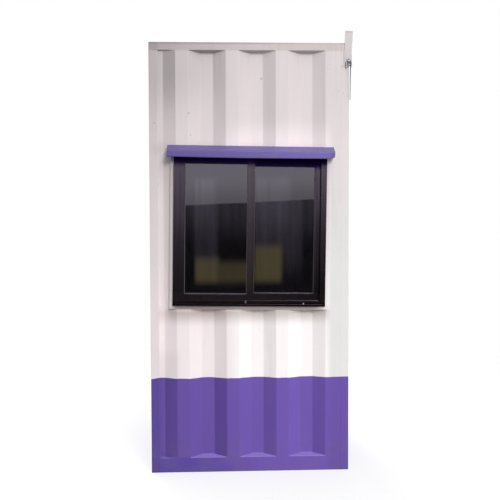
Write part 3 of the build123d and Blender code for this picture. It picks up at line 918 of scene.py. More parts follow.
# %% [markdown]
# ## Rubber, boards and steel
# These finishes differ in little but their colour and grain, so one helper makes them: a colour,
# weathered, with a fine grain in its height. Gaskets are dull rubber. Inside, the walls and the
# ceiling are lined with pale laminated board in strips, whose joints show as thin dark lines, and
# the floor is brown film-faced ply. The stud and the link outside are galvanised, and have gone
# black in places; the wire end has a dark coat. The hinges are oily steel with a little rust, and
# the door's grip is brushed bright steel.

# %% A helper for plain finishes
def plain_finish(r, coat, height, mottle, streaks, dust, base_rough, rougher=0.0, **more):
    """Weathers a coat without chips and shades it."""
    values = {"Mottle": mottle, "Streaks": streaks, "Dust": dust, "Base_Roughness": base_rough}
    weather = r.use(WEATHERING, Color=coat, Chips=0.0, **values)
    rough = weather["Roughness"] + rougher if rougher else weather["Roughness"]
    shade(r, height, Base_Color=weather["Color"], Roughness=rough, **more)


print("plain finishes share one recipe")


# %% Rubber and boards
BOARD_STRIP = 0.25  # metres from joint to joint

rubber, r = new_finish("rubber")
plain_finish(r, colour(72, 68, 74), r.noise(0.002, 3) * 0.00004, 0.3, 0.1, 0.5, 0.62)

lining_board, r = new_finish("lining_board")
x, y, _ = r.xyz(r.place)
along = (x + y).math("DIVIDE", BOARD_STRIP).math("FRACT")
seam = abs(along - 0.5).span(0.490, 0.497)
grain = r.noise(0.02, 5, stretch=(1, 1, 14), roughness=0.6)
board = r.mix(grain.span(0.3, 0.7), colour(196, 188, 178), colour(212, 206, 198))
board = r.mix(seam * 0.7, board, colour(88, 80, 74))
plain_finish(r, board, seam * -0.0012 + grain * 0.00008, 0.08, 0.05, 0.2, 0.5)

floor_board, r = new_finish("floor_board")
grain = r.noise(0.012, 6, stretch=(16, 1, 1), roughness=0.62)
board = r.mix(grain.span(0.3, 0.7), colour(78, 56, 42), colour(118, 88, 64))
plain_finish(r, board, grain * 0.0002, 0.2, 0.0, 0.4, 0.55)
print("rubber and boards are ready")

# %% Steels
dark_steel, r = new_finish("dark_steel")
rust = r.noise(0.012, 5, roughness=0.65).span(0.46, 0.66)
steel = r.mix(rust, colour(62, 59, 64), colour(96, 70, 56))
pits = r.noise(0.003, 4) * 0.0002
metal = rust.span(0.0, 1.0, 0.75, 0.05)
plain_finish(r, steel, pits, 0.4, 0.1, 0.3, 0.46, rougher=rust * 0.3, Metallic=metal)

zinc, r = new_finish("zinc")
spangle = r.noise(0.007, 3, roughness=0.6).span(0.3, 0.7)
black = r.noise(0.011, 4, roughness=0.6).span(0.54, 0.64)
steel = r.mix(spangle, colour(150, 146, 150), colour(192, 188, 192))
steel = r.mix(black, steel, colour(70, 62, 66))
pits = r.noise(0.003, 4) * 0.0002
plain_finish(r, steel, pits, 0.2, 0.0, 0.3, 0.50, Metallic=black.span(0.0, 1.0, 0.35, 0.0))

wire_coat, r = new_finish("wire_coat")
coat = r.mix(r.noise(0.009, 4).span(0.50, 0.66), colour(70, 60, 92), colour(128, 122, 134))
grain = r.noise(0.002, 3) * 0.00008
plain_finish(r, coat, grain, 0.2, 0.0, 0.3, 0.6, Specular_IOR_Level=0.3)

bright_steel, r = new_finish("bright_steel")
brushed = r.noise(0.0012, 3, stretch=(1, 1, 30))
grain, rough = brushed * 0.00002, brushed * 0.15
plain_finish(r, colour(176, 174, 172), grain, 0.2, 0.05, 0.2, 0.28, rougher=rough, Metallic=1.0)
print("steels are ready")

# %% [markdown]
# # The cabin
# ## Stamped sheet
# Container sheet is pressed from flat steel: wide grooves with sloping sides that run out in
# short bevels near the rails. It could be sculpted or displaced, but pressing it as the mill does
# is exact and quick. A plane is cut along the fold lines, the corners get their hip lines, the
# groove floors are pushed in, and then every fold is rounded, because rolled sheet has no sharp
# bends. That soft bend is what catches light on the real wall. The first groove of a wall runs
# under its corner post, where the press can't reach far in: it gets shallow towards its ends and
# stops short.

# %% Fold lines
GROOVE_FLOOR, GROOVE_SLOPE, GROOVE_FLAT, GROOVE_END = 75 * MM, 75 * MM, 75 * MM, 10 * MM
FLOOR_HALF = GROOVE_FLOOR / 2
GROOVE_HALF = FLOOR_HALF + GROOVE_SLOPE
PITCH = 2 * GROOVE_HALF + GROOVE_FLAT
SKIN = 2 * MM
SHALLOW_RUN, SHALLOW_RISE = 600 * MM, 24 * MM  # how a first groove gets shallow at its ends
BEND = 4 * MM  # how far a bend reaches to each side of its fold line
SLACK = 1e-5


def sheet(name, x0, x1, z0, z1):
    """An upright plane between two corners, facing the outside."""
    size = Matrix.Diagonal((x1 - x0, 1, z1 - z0, 1))
    piece = new_piece("plane", name, size=1, rotation=(math.pi / 2, 0, 0))
    return put(piece, Matrix.Translation(((x0 + x1) / 2, 0, (z0 + z1) / 2)) @ size)


def is_at(*places):
    """A test for points at one of some places."""
    return lambda v: any((v.co - Vector(place)).length < SLACK for place in places)


def draw_folds(middles, foot, top):
    """Cuts a sheet along the fold lines and joins the corners of each groove's ends."""
    for m in middles:
        for line in (-GROOVE_HALF, -FLOOR_HALF, FLOOR_HALF, GROOVE_HALF):
            cut((m + line, 0, 0), (1, 0, 0))
    ends = ((foot, foot + GROOVE_END), (top, top - GROOVE_END))
    for z in (foot, foot + GROOVE_END, top - GROOVE_END, top):
        cut((0, 0, z), (0, 0, 1))
    for m in middles:
        for side in (-1, 1):
            for outer, inner in ends:
                hip = (m + side * GROOVE_HALF, 0, outer), (m + side * FLOOR_HALF, 0, inner)
                if pick("verts", is_at(*hip)) == 2:
                    bpy.ops.mesh.vert_connect()


print("a groove is", round(2 * GROOVE_HALF, 3), "m across and repeats every", round(PITCH, 3), "m")


# %% Pressing
def stamped_sheet(name, half, foot, top, groove_foot, groove_top, depth, middles, steep=0.0):
    """A sheet with grooves pressed in around the given middles, trimmed to its half width.
    The ends of the first groove are steeper by the given height, and shallow."""
    piece = sheet(name, min(-half, middles[0] - GROOVE_HALF), half, foot, top)
    edit(piece)
    draw_folds(middles, groove_foot, groove_top)
    low, high = groove_foot + GROOVE_END, groove_top - GROOVE_END

    def on_floor(v, m):
        return low - SLACK < v.co.z < high + SLACK and abs(v.co.x - m) < FLOOR_HALF + SLACK

    pick("verts", lambda v: any(on_floor(v, m) for m in middles))
    move(0, depth, 0)
    if steep:
        for line, way in ((low, -1), (high, 1)):
            cut((0, 0, line - way * SHALLOW_RUN), (0, 0, 1))
            pick("verts", lambda v: abs(v.co.z - line) < SLACK and on_floor(v, middles[0]))
            move(0, -SHALLOW_RISE, way * steep)
    cut((-half, 0, 0), (-1, 0, 0), clear=True)
    pick("edges", folded(0.22))
    bpy.ops.mesh.bevel(offset=BEND, segments=4, profile=0.5, affect="EDGES", clamp_overlap=True)
    if pick("verts", lambda v: v.co.y < -SLACK):  # a bend that stands out is pressed back
        bpy.ops.transform.resize(value=(1, 0, 1), center_override=(0, 0, 0))
    leave()
    return piece


print("each bend is", 2 * BEND, "m across")

# %% [markdown]
# ## The four walls
# All four walls are one pressing, so one is modelled and copied. The front copy loses a square
# for the window, which hangs a little out of plumb, and the back copy loses the doorway.

# %% Cutting an opening
def cut_opening(piece, width, sill, top, tilt=0.0):
    """Cuts a rectangle out of a wall: four cuts, and what lies between them is deleted."""
    edit(piece)
    centre, spin = Vector((0, 0, (sill + top) / 2)), turned(tilt, "Y").to_3x3()
    for direction, reach in ((Vector((1, 0, 0)), width / 2), (Vector((0, 0, 1)), (top - sill) / 2)):
        for way in (-1, 1):
            outward = spin @ (direction * way)
            cut(centre + outward * reach, outward)

    def inside(face):
        at = spin.inverted() @ (middle(face) - centre)
        return abs(at.x) < width / 2 and abs(at.z) < (top - sill) / 2

    pick("faces", inside)
    bpy.ops.mesh.delete(type="FACE")
    leave()


print("an opening takes four cuts")


# %% Four walls
ROOF_TOP = 2590 * MM
FRAME_TOP = ROOF_TOP - SKIN
BASE_RAIL, TOP_RAIL_FOOT = 88 * MM, 2545 * MM
WALL_HALF = 550 * MM
MIDDLES = [-554.5 * MM + k * PITCH for k in range(4)]
WINDOW, WINDOW_SILL, WINDOW_TILT = 920 * MM, 1012 * MM, 0.85  # the tilt in degrees
DOORWAY, DOORWAY_SILL, DOORWAY_TOP = 786 * MM, 91 * MM, 2077 * MM
SLEEVE = 3 * MM  # wall of the flat-bar sleeves that line both openings

grooves = BASE_RAIL + SKIN, TOP_RAIL_FOOT - SKIN, 36 * MM, MIDDLES, 8 * MM
pressing = stamped_sheet("wall_sheet", WALL_HALF, 0, FRAME_TOP, *grooves)
window_hole = WINDOW + 2 * SLEEVE, WINDOW_SILL - SLEEVE, WINDOW_SILL + WINDOW + SLEEVE, WINDOW_TILT
door_hole = DOORWAY + 2 * SLEEVE, DOORWAY_SILL - SLEEVE, DOORWAY_TOP + SLEEVE
SIDES = {"front": FRONT, "right": RIGHT, "back": BACK, "left": LEFT}
holes = {"front": window_hole, "back": door_hole}
for side, azimuth in SIDES.items():
    wall = copy_of(pressing, side + "_wall_sheet")
    if side in holes:
        cut_opening(wall, *holes[side])
    thicken(wall, SKIN)
    hand_over(place_on(wall, azimuth), cabin_paint, "white_paint", side + "_wall")
bpy.data.objects.remove(pressing)

# %% [markdown]
# ## Roof sheet
# The roof is the same stamping, laid flat: three shallower grooves that run front to back. It is
# drawn as a wall and then tipped over, so that its outside faces up.

# %% Roof sheet
ROOF_GROOVE, ROOF_GROOVE_DEPTH = 548 * MM, 20 * MM
roof = stamped_sheet(
    "roof_pressing", WALL_OUT, -WALL_OUT, WALL_OUT,
    -ROOF_GROOVE, ROOF_GROOVE, ROOF_GROOVE_DEPTH, [-PITCH, 0.0, PITCH],
)
put(thicken(roof, SKIN), Matrix.Translation((0, 0, ROOF_TOP)) @ turned(-90, "X"))
hand_over(roof, cabin_paint, "white_paint", "roof_sheet")

# %% [markdown]
# ## Frame tubes and boards
# Posts, rails and joists are plain square tube, and the boards are plain too: the packed solids
# are already right. They only want the small radius that rolled tube and sawn board have. Their
# meshes are loose triangles, so a Weld modifier joins those first and a Bevel then rounds the
# edges, all live, which leaves the solids themselves untouched.

# %% Packed pieces that stay
def keep(node, material, radius, segments=3):
    """Dresses a packed piece: its material, and live modifiers that round its edges."""
    piece = NODES[node]
    piece.data.materials.clear()
    piece.data.materials.append(material)
    if radius:
        weld = piece.modifiers.new("weld", "WELD")
        weld.merge_threshold = 0.02 * MM
        bevel = piece.modifiers.new("round", "BEVEL")
        bevel.width, bevel.segments, bevel.limit_method = radius, segments, "ANGLE"
        bevel.angle_limit = math.radians(50)
        bevel.harden_normals = True


for node in NODES:
    if node.startswith("corner_post"):
        # the left corner posts take the darker coat, painted shade
        keep(node, painted_shade_post if node.endswith("left") else cabin_paint, 3 * MM)
    elif node.startswith(("base_rail", "top_rail", "floor_joist")):
        keep(node, cabin_paint, 2 * MM)
    elif node.endswith("_lining") or node == "ceiling_board":
        keep(node, lining_board, 1 * MM, 2)
    elif node == "floor_board":
        keep(node, floor_board, 1 * MM, 2)
    elif node.startswith("window_glass"):
        keep(node, tinted_glass, 0)
print("packed pieces keep their shape and get rounded edges")

# %% [markdown]
# ## Corner seams
# Each wall sheet is welded to its corner posts from top to bottom. The weld is a thin uneven
# bead, wider than it is deep, that fills the notch between the two. One bead is a slim
# eight-sided rod, cut many times along its length and jittered by a hair, and it is copied to all
# eight seams.

# %% Corner seams
BEAD = 2.4 * MM


def weld_bead(name, length, radius, steps, seed):
    """An uneven bead standing on the origin."""
    size = {"vertices": 8, "radius": radius, "depth": length}
    piece = new_piece("cylinder", name, location=(0, 0, length / 2), **size)
    edit(piece)
    pick("edges", lambda e: abs((e.verts[0].co - e.verts[1].co).z) > length / 2)
    bpy.ops.mesh.subdivide(number_cuts=steps)
    pick("verts", lambda v: 1 * MM < v.co.z < length - 1 * MM)
    bpy.ops.transform.vertex_random(offset=radius * 0.22, uniform=0.7, seed=seed)
    leave()
    only(piece)
    bpy.ops.object.shade_smooth()
    return piece


seam = weld_bead("seam", FRAME_TOP, BEAD, 150, 4)
flat = Matrix.Diagonal((1.7, 0.8, 1, 1))
for side, azimuth in SIDES.items():
    beads = []
    for k, x in enumerate((-WALL_HALF, WALL_HALF)):
        notch = Matrix.Translation((x, 0.8 * BEAD + 0.5 * MM, 0)) @ flat
        beads.append(place_on(put(copy_of(seam, f"{side}_seam_{k}"), notch), azimuth))
    hand_over(join(side + "_corner_seams", beads), cabin_paint, "white_paint")
bpy.data.objects.remove(seam)

# %% [markdown]
# # The window
# ## Bars from a drawn section
# Window bars are extrusions, sawn at 45 degrees and screwed together at the corners. They are
# made the same way here. A single vertex is extruded round the outline of the section, the
# outline is filled and pulled out to length, and a bisect saws each end. The hairline that is
# left at every mitre is what tells a frame of bars from a hole in a plate.

# %% Drawn lines and sections
def draw_line(name, points):
    """An open line drawn point by point from one vertex; the piece stays in edit mode."""
    piece = new_piece("plane", name, size=0.01)
    edit(piece)
    bpy.ops.mesh.merge(type="CENTER")
    move(*points[0])
    for before, after in zip(points, points[1:]):
        pull(*(after - before))
    return piece


def draw_section(name, points):
    """The same line, closed and filled."""
    piece = draw_line(name, points)
    pick("verts", is_at(points[0], points[-1]))
    bpy.ops.mesh.edge_face_add()
    bpy.ops.mesh.select_all(action="SELECT")
    bpy.ops.mesh.edge_face_add()
    return piece


print("a section starts from one vertex")


# %% Bars
MITRE_GAP = 0.25 * MM


def bar(name, outline, start, end, inward, mitred=True, overrun=0.0):
    """A bar from start to end. Its outline is (depth, inward) in mm, counted from that line."""
    start, end, inward = Vector(start), Vector(end), Vector(inward)
    along = (end - start).normalized()
    foot = start - along * overrun
    drawn = [foot + Vector((0, d * MM, 0)) + inward * u * MM for d, u in outline]
    piece = draw_section(name, drawn)
    pull(*(end - foot + along * overrun))
    make_sound()
    if mitred:
        cut(start + along * MITRE_GAP, inward - along, clear=True, fill=True)
        cut(end - along * MITRE_GAP, inward + along, clear=True, fill=True)
    leave()
    return piece


def four_bars(name, low, high, foot, top, y, outline, sill_outline=None, overrun=0.0):
    """Four mitred bars around an opening from low to high, joined into one piece."""
    corners = [(low, y, foot), (high, y, foot), (high, y, top), (low, y, top)]
    inward = [(0, 0, 1), (-1, 0, 0), (0, 0, -1), (1, 0, 0)]
    bars = []
    for k in range(4):
        drawn = sill_outline if k == 0 and sill_outline else outline
        ends = corners[k], corners[(k + 1) % 4]
        bars.append(bar(f"{name}_{k}", drawn, *ends, inward[k], overrun=overrun))
    return join(name, bars)


def hang(piece):
    """Turns a piece out of plumb about the window's middle and sets it on the front wall."""
    centre = Matrix.Translation((0, 0, WINDOW_SILL + WINDOW / 2))
    return place_on(put(piece, centre @ turned(WINDOW_TILT, "Y") @ centre.inverted()), FRONT)


WINDOW_HOLE = -WINDOW / 2, WINDOW / 2, WINDOW_SILL, WINDOW_SILL + WINDOW
print("the window hangs", WINDOW_TILT, "degrees out of plumb")

# %% [markdown]
# ## Steel surround
# The opening is lined with flat bar, and a flange covers the cut edges of the sheet outside. The
# lower flange ends in a small drip lip that throws water clear, and a shadow with it.

# %% Window surround
FLANGE_OVERRUN = 25 * MM
L_BAR = [(-3, -20), (0, -20), (0, -3), (50, -3), (50, 0), (-3, 0)]
DRIP_BAR = [(-9, -20)] + L_BAR[1:] + [(-3, -15), (-9, -17.5)]
trim = four_bars("window_trim", *WINDOW_HOLE, 0, L_BAR, DRIP_BAR, FLANGE_OVERRUN)
soften(trim, 0.8 * MM)
hand_over(hang(trim), trim_paint, "white_paint", "window_surround")

# %% [markdown]
# ## Outer frame
# The outer frame stands 20 mm in front of the wall. Its section is an E: a web all round and
# three fins, which make two tracks. The front fin has a shallow channel in its face, and the sill
# bar carries two thin rails that the sashes run on.

# %% Window frame
FRAME_FRONT = -20 * MM
FACE = [(0, 34), (0, 30.5), (0.5, 29.5), (0.5, 12), (0, 11.5)]
E_BAR = [(0, 0), (57, 0), (57, 34), (54, 34), (54, 3), (30, 3), (30, 34), (27, 34), (27, 3)]
E_BAR += [(3, 3), (3, 34)]
RAILS = [[(y, 3), (y, 20), (y - 3, 20), (y - 3, 3)] for y in (43.5, 16.5)]
SILL_BAR = E_BAR[:5] + RAILS[0] + E_BAR[5:9] + RAILS[1] + E_BAR[9:]
outer = four_bars("window_outer_frame", *WINDOW_HOLE, FRAME_FRONT, E_BAR + FACE, SILL_BAR + FACE)
soften(outer, 0.4 * MM)
hand_over(hang(outer), black_aluminium, "black_aluminium", "window_frame")

# %% [markdown]
# ## Sashes
# Each sash is four bars round its pane: two stiles run the full height and two rails stand
# between them. The section has a groove for the glass and a sloping glazing bead in front of it,
# which catches the light from above along the foot of each pane. The left sash runs in the outer
# track and is a little the wider of the two.

# %% Sashes
SASH_FOOT, SASH_TOP = WINDOW_SILL + 20 * MM, WINDOW_SILL + WINDOW - 7 * MM
PANE_FOOT, PANE_TOP = SASH_FOOT + 54 * MM, SASH_TOP - 59 * MM
INNER_SHORT = 11 * MM  # how much shorter the sash in the inner track is
HAIR = 0.3 * MM  # between a rail and its stiles
STILE_BEAD, MEETING_BEAD, FOOT_BEAD = 7, 2, 6.5  # how far the glazing bead slopes, in mm


def sash_section(w, bead=0.8, slope=STILE_BEAD):
    """Outline of a sash bar: a box, a groove for the glass, and a bead in front of it."""
    box = [(0, 0), (22, 0), (22, w - 3), (20, w), (14, w)]
    return box + [(14, w - 9), (8, w - 9), (8, w), (bead, w), (0, w - slope)]


def sash(name, front, short, lift, outer, pane_outer, pane_inner, inner):
    """A sash between its outer and inner edges; its bead stands proud of the pane's foot."""
    way = 1 if inner > outer else -1
    top = SASH_TOP - short
    low, high = sorted((pane_outer, pane_inner))
    foot_section = sash_section((PANE_FOOT - SASH_FOOT) / MM + lift, 6, FOOT_BEAD)
    head_section = sash_section((SASH_TOP - PANE_TOP) / MM)
    bars = []
    for edge, pane, side, slope in (
        (outer, pane_outer, way, STILE_BEAD), (inner, pane_inner, -way, MEETING_BEAD)
    ):
        section = sash_section(abs(pane - edge) / MM, slope=slope)
        bars.append((section, (edge, front, SASH_FOOT), (edge, front, top), (side, 0, 0)))
    for section, z, up in ((foot_section, SASH_FOOT, 1), (head_section, top, -1)):
        bars.append((section, (low + HAIR, front, z), (high - HAIR, front, z), (0, 0, up)))
    return join(name, [bar(f"{name}_{k}", *each, mitred=False) for k, each in enumerate(bars)])


for side, front, short, lift, edges in (
    ("left", -16 * MM, 0, 3, (-457, -392, -16, 26)),
    ("right", 11 * MM, INNER_SHORT, 8, (457, 392, 26, -16)),
):
    leaf = sash(f"{side}_sash", front, short, lift, *(edge * MM for edge in edges))
    soften(leaf, 0.4 * MM)
    hand_over(hang(leaf), black_aluminium, "black_aluminium", f"window_sash_{side}")

# %% [markdown]
# ## Gaskets
# A rubber gasket seals each pane against its bead. It is a thin round-nosed strip, dark as the
# bars but dull.

# %% Gaskets
GASKET = [(0, -3), (2.2, -3), (2.2, 2.4), (1.6, 3.4), (0.6, 3.4), (0, 2.4)]
for side, front, low, high, top in (
    ("left", -10.3, -392, -16, PANE_TOP),
    ("right", 16.7, 26, 392, PANE_TOP - INNER_SHORT),
):
    strip = four_bars(f"{side}_gasket", low * MM, high * MM, PANE_FOOT, top, front * MM, GASKET)
    soften(strip, 0.3 * MM)
    hand_over(hang(strip), rubber, "black_aluminium")

# %% [markdown]
# ## Sill fittings
# Two pan screws hold the sill bar down, one zinc and one that is still black, and a small guide
# block stands where the sashes meet. A screw is a cylinder whose top is inset and pulled up to a
# dome, with a dimple pushed in; both are only a few millimetres across, but they are what the eye
# finds on a dark bar.

# %% Sill fittings
def disc(name, place, radius, thickness, steps, vertices):
    """A disc that faces out of the wall, and whose face steps in and out as if turned."""
    size = {"vertices": vertices, "radius": radius * MM, "depth": thickness * MM}
    piece = new_piece("cylinder", name, location=place, rotation=(math.pi / 2, 0, 0), **size)
    edit(piece)
    pick("faces", lambda f: f.normal.y < -0.9)
    step_out(steps, (0, -1, 0))
    leave()
    return piece


def block(name, low, high):
    """A box between two corners in mm."""
    low, high = Vector(low) * MM, Vector(high) * MM
    piece = new_piece("cube", name, size=1)
    size = Matrix.Diagonal((*(high - low), 1))
    return put(piece, Matrix.Translation((low + high) / 2) @ size)


PAN = [(1.0, 0.6), (1.2, 0.3), (0.7, -0.9)]
for side, place, metal in (
    ("right", (327.5 * MM, FRAME_FRONT, 1029.8 * MM), zinc),
    ("left", (-437 * MM, FRAME_FRONT + 1 * MM, 1047 * MM), black_aluminium),
):
    screw = smooth(disc("sill_screw_" + side, place, 4.2, 1.6, PAN, 20))
    hand_over(hang(screw), metal, "dark_steel")
guide = block("sash_guide", (-27, -22, 1029), (-17, -16, 1048))
edit(guide)
cut((-27 * MM, FRAME_FRONT, 1043 * MM), (-1, 0, 1), clear=True, fill=True)
leave()
soften(guide, 1 * MM)
hand_over(hang(guide), rubber, "black_aluminium")

# %% [markdown]
# # Rain hood
# The hood is one folded sheet with a separate plate welded in at each end. Its folds follow a
# line: up the wall, down the slope, down the face and back in as a lip. So the line is drawn from
# a vertex, pulled out sideways into a sheet, its folds are bent round, and it gets its thickness
# last. Its lip sags a little between the ends, and its right end has been knocked, which bent the
# lower corner up.

# %% Rain hood
HOOD_HALF, HOOD_FLARE, HOOD_SHEET = 502 * MM, 3 * MM, 2 * MM
HOOD_TOP, HOOD_FOOT, HOOD_WALL = 1976 * MM, 1901 * MM, 1958 * MM
HOOD_REACH, HOOD_NOSE, HOOD_LIP = 72 * MM, 1942 * MM, 60 * MM
CREASES = 462, 475, 488, -475  # where the ends can bend, in mm from the middle
SAGS = {-300: 2, -50: 3.5, 200: 2}  # how far the lip hangs at three places, in mm


def on_lip(v, low, high=HOOD_HALF + SLACK):
    """Whether a point is on the lip, between two places along the hood."""
    return low < v.co.x < high and v.co.z < HOOD_FOOT + 6 * MM


face = -HOOD_REACH
fold = [(0, HOOD_WALL), (0, HOOD_TOP), (face, HOOD_NOSE), (face, HOOD_FOOT), (-HOOD_LIP, HOOD_FOOT)]
hood = draw_line("hood_sheet", [Vector((-HOOD_HALF, y, z)) for y, z in fold])
bpy.ops.mesh.select_all(action="SELECT")
pull(2 * HOOD_HALF, 0, 0)
for x in (*CREASES, *SAGS):
    cut((x * MM, 0, 0), (1, 0, 0))
pick("edges", folded(0.2))
bpy.ops.mesh.bevel(offset=4.5 * MM, segments=4, affect="EDGES")
for x, sag in SAGS.items():
    pick("verts", lambda v: on_lip(v, (x - 0.1) * MM, (x + 0.1) * MM))
    move(0, 0, -sag * MM)
leave()
print("hood sheet:", len(hood.data.polygons), "faces")

# %% Its ends
edge = 0.3 * MM - HOOD_REACH
nose = [(edge + 1.2 * MM, HOOD_NOSE - 0.8 * MM), (edge, HOOD_NOSE - 4 * MM)]
outline = [(0, HOOD_FOOT), (0, HOOD_TOP), *nose, (edge, HOOD_FOOT)]
ends = []
for way in (-1, 1):
    x = way * (HOOD_HALF - 0.2 * MM)
    ends.append(draw_section(f"hood_end_{way}", [Vector((x, y, z)) for y, z in outline]))
    pick("edges", lambda e: middle(e).z < HOOD_FOOT + SLACK)
    pull(-way * 12 * MM, 0, 0)
    leave()
hood = join("rain_hood_sheet", [hood] + ends)
edit(hood)
mesh = bmesh.from_edit_mesh(hood.data)
for way in (-1, 1):
    for v in mesh.verts:
        if v.co.x * way > HOOD_HALF - 1 * MM:
            v.co.x -= way * HOOD_FLARE * (v.co.z - HOOD_FOOT) / (HOOD_TOP - HOOD_FOOT)
bmesh.update_edit_mesh(hood.data)
pick("verts", lambda v: on_lip(v, 480 * MM))
move(-3 * MM, 2 * MM, 9 * MM)
pick("verts", lambda v: on_lip(v, 470 * MM, 480 * MM))
move(0, 1 * MM, 2 * MM)
make_sound()
leave()
hand_over(hang(thicken(hood, HOOD_SHEET)), hood_paint, "purple_paint", "rain_hood")

# %% [markdown]
# # Lifting strap
# At the front right corner a flat bar is welded to the post and rises past the roof, and leans
# out a little. Its foot is ground thin, so that it lies against the post without a step. A stud
# with a hexagon head holds a long link and the loose end of a binding wire. They are small, but
# they break the plain outline of the booth, so each is modelled in full.

# %% Strap
STRAP_X, STRAP_FOOT, STRAP_TILT = 589 * MM, 2470 * MM, 3  # the tilt in degrees
STRAP_HALF, STRAP_THICK, STRAP_LONG = 23, 6, 192  # in mm
STRAP_CORNER, GROUND_TO, GROUND_OFF = 1.5, 116, 4.5
strap = block("strap_bar", (-STRAP_HALF, -STRAP_THICK, 0), (STRAP_HALF, 0, STRAP_LONG))
edit(strap)
for way in (-1, 1):
    corner = (way * STRAP_HALF * MM, 0, (STRAP_LONG - STRAP_CORNER) * MM)
    cut(corner, (way, 0, 1), clear=True, fill=True)
cut((0, 0, GROUND_TO * MM), (0, 0, 1))
pick("verts", lambda v: v.co.y < (1 - STRAP_THICK) * MM and v.co.z < 1 * MM)
move(0, GROUND_OFF * MM, 0)
leave()
soften(strap, 0.7 * MM)
foot_place = Matrix.Translation((STRAP_X, 0, STRAP_FOOT)) @ turned(STRAP_TILT, "Y")
hand_over(place_on(put(strap, foot_place), FRONT), strap_paint, "white_paint", "corner_strap")

# %% Welds along the strap
welds = []
for k, (side, length, radius) in enumerate(((-STRAP_HALF, 96, 1.2), (STRAP_HALF, 44, 3.0))):
    bead = weld_bead(f"strap_weld_{k}", length * MM, radius * MM, 24, 7 + k)
    put(bead, foot_place @ Matrix.Translation((side * MM, -0.6 * MM, 8 * MM)))
    welds.append(place_on(bead, FRONT))
hand_over(join("strap_welds", welds), strap_paint, "white_paint")

# %% [markdown]
# ## Stud, washer and nut
# A hexagon head is a six-sided cylinder whose corners are turned down: its end face is inset and
# pulled out, which leaves the sloping chamfer. The shank gets rings of thread by the same idea.

# %% Stud
BOLT = Vector((596 * MM, 0, 2484 * MM))
BOLT_OUT, THREADS, THREAD_WAIST = 17 * MM, 11, 0.86


def rod(name, vertices, radius, low, high):
    """An upright rod between two heights, in mm."""
    size = {"vertices": vertices, "radius": radius * MM, "depth": (high - low) * MM}
    return new_piece("cylinder", name, location=(0, 0, (low + high) / 2 * MM), **size)


head = rod("stud_head", 6, 9.8, 0, 7)
edit(head)
pick("faces", lambda f: f.normal.z > 0.9)
step_out([(1.6, 1.0), (2.2, -0.5)], (0, 0, 1))
leave()
shank = rod("stud_shank", 24, 5, -THREADS, 0)
edit(shank)
for k in range(1, THREADS):
    cut((0, 0, -k * MM), (0, 0, 1))
pick("verts", lambda v: round(-v.co.z / MM) in range(1, THREADS, 2))
bpy.ops.transform.resize(value=(THREAD_WAIST, THREAD_WAIST, 1), center_override=(0, 0, 0))
leave()
washer = rod("stud_washer", 28, 11, -10.8, -9.2)
edit(washer)
pick("faces", lambda f: abs(f.normal.z) > 0.9)
step_out([(2, 0)], (0, 0, 1))
leave()
stud = join("strap_stud", [head, shank, washer])
soften(stud, 0.35 * MM)
put(stud, Matrix.Translation(BOLT + Vector((0, -BOLT_OUT, 0))) @ turned(90, "X"))
hand_over(place_on(stud, FRONT), zinc, "dark_steel", "strap_bolt")

# %% [markdown]
# ## Link and wire
# The link is a round bar bent into a long loop. Its section is a circle, pulled up one leg, spun
# through half a turn over the stud, pulled down the other leg and spun back. The wire end is a
# thinner circle extruded in short steps that drift and taper a little, as bent, fraying wire does.

# %% Link
LINK_BAR, LINK_TURN, LINK_LEG = 4.5 * MM, 13.5 * MM, 36 * MM
LINK_SLACK = 5 * MM
crown = Vector((BOLT.x, -11.5 * MM, BOLT.z + LINK_SLACK + LINK_BAR - LINK_TURN))
foot = crown - Vector((0, 0, LINK_LEG))
start = foot - Vector((LINK_TURN, 0, 0))
link = new_piece("circle", "link_loop", vertices=14, radius=LINK_BAR, location=start)
edit(link)
for leg, centre in ((LINK_LEG, crown), (-LINK_LEG, foot)):
    pull(0, 0, leg)
    bpy.ops.mesh.spin(steps=12, angle=math.pi, center=centre, axis=(0, 1, 0))
make_sound(0.05 * MM)
leave()
print("link loop:", len(link.data.polygons), "faces")

# %% Wire end
WIRE, WIRE_STEP, WIRE_TAPER = 3.3 * MM, 19.5 * MM, 0.95
DRIFT = (0.1, -0.8, 0.3, -1.0, 0.1, -0.7, 0.4, -0.5, 0.2, -0.7, 0.1, -0.4)  # in mm
top = crown + Vector((LINK_TURN - 3.4 * MM, 2 * MM - LINK_BAR - WIRE, 4 * MM))
wire = new_piece("circle", "wire_end", vertices=10, radius=WIRE, fill_type="NGON", location=top)
edit(wire)
for k, dx in enumerate(DRIFT):
    pull(dx * MM, (0.5 if k % 3 else -0.6) * MM, -WIRE_STEP)
    ring = [v.co for v in bmesh.from_edit_mesh(wire.data).verts if v.select]
    centre = sum(ring, Vector()) / len(ring)
    bpy.ops.transform.resize(value=(WIRE_TAPER, WIRE_TAPER, 1), center_override=centre)
make_sound()
leave()
print("the wire end is", round(len(DRIFT) * WIRE_STEP, 3), "m long")

# %% Its wraps
WRAP, WRAPS_BELOW, WRAP_PITCH = 1.4 * MM, 6 * MM, 4.6 * MM
wraps = []
for k in range(5):
    at = crown + Vector((LINK_TURN, 0, -WRAPS_BELOW - k * WRAP_PITCH))
    side = at + Vector((LINK_BAR + 0.4 * MM, 0, 0))
    size = {"vertices": 8, "radius": WRAP, "rotation": (math.pi / 2, 0, 0)}
    wrap = new_piece("circle", f"wrap_{k}", location=side, **size)
    edit(wrap)
    lean = (0.12, 0.06 * (-1) ** k, 1)
    bpy.ops.mesh.spin(steps=14, angle=2 * math.pi, center=at, axis=lean)
    make_sound(0.2 * MM)
    leave()
    wraps.append(wrap)
link = join("link_and_wraps", [link] + wraps)
hand_over(place_on(smooth(wire), FRONT), wire_coat, "dark_steel")
hand_over(place_on(smooth(link), FRONT), zinc, "dark_steel", "strap_link")

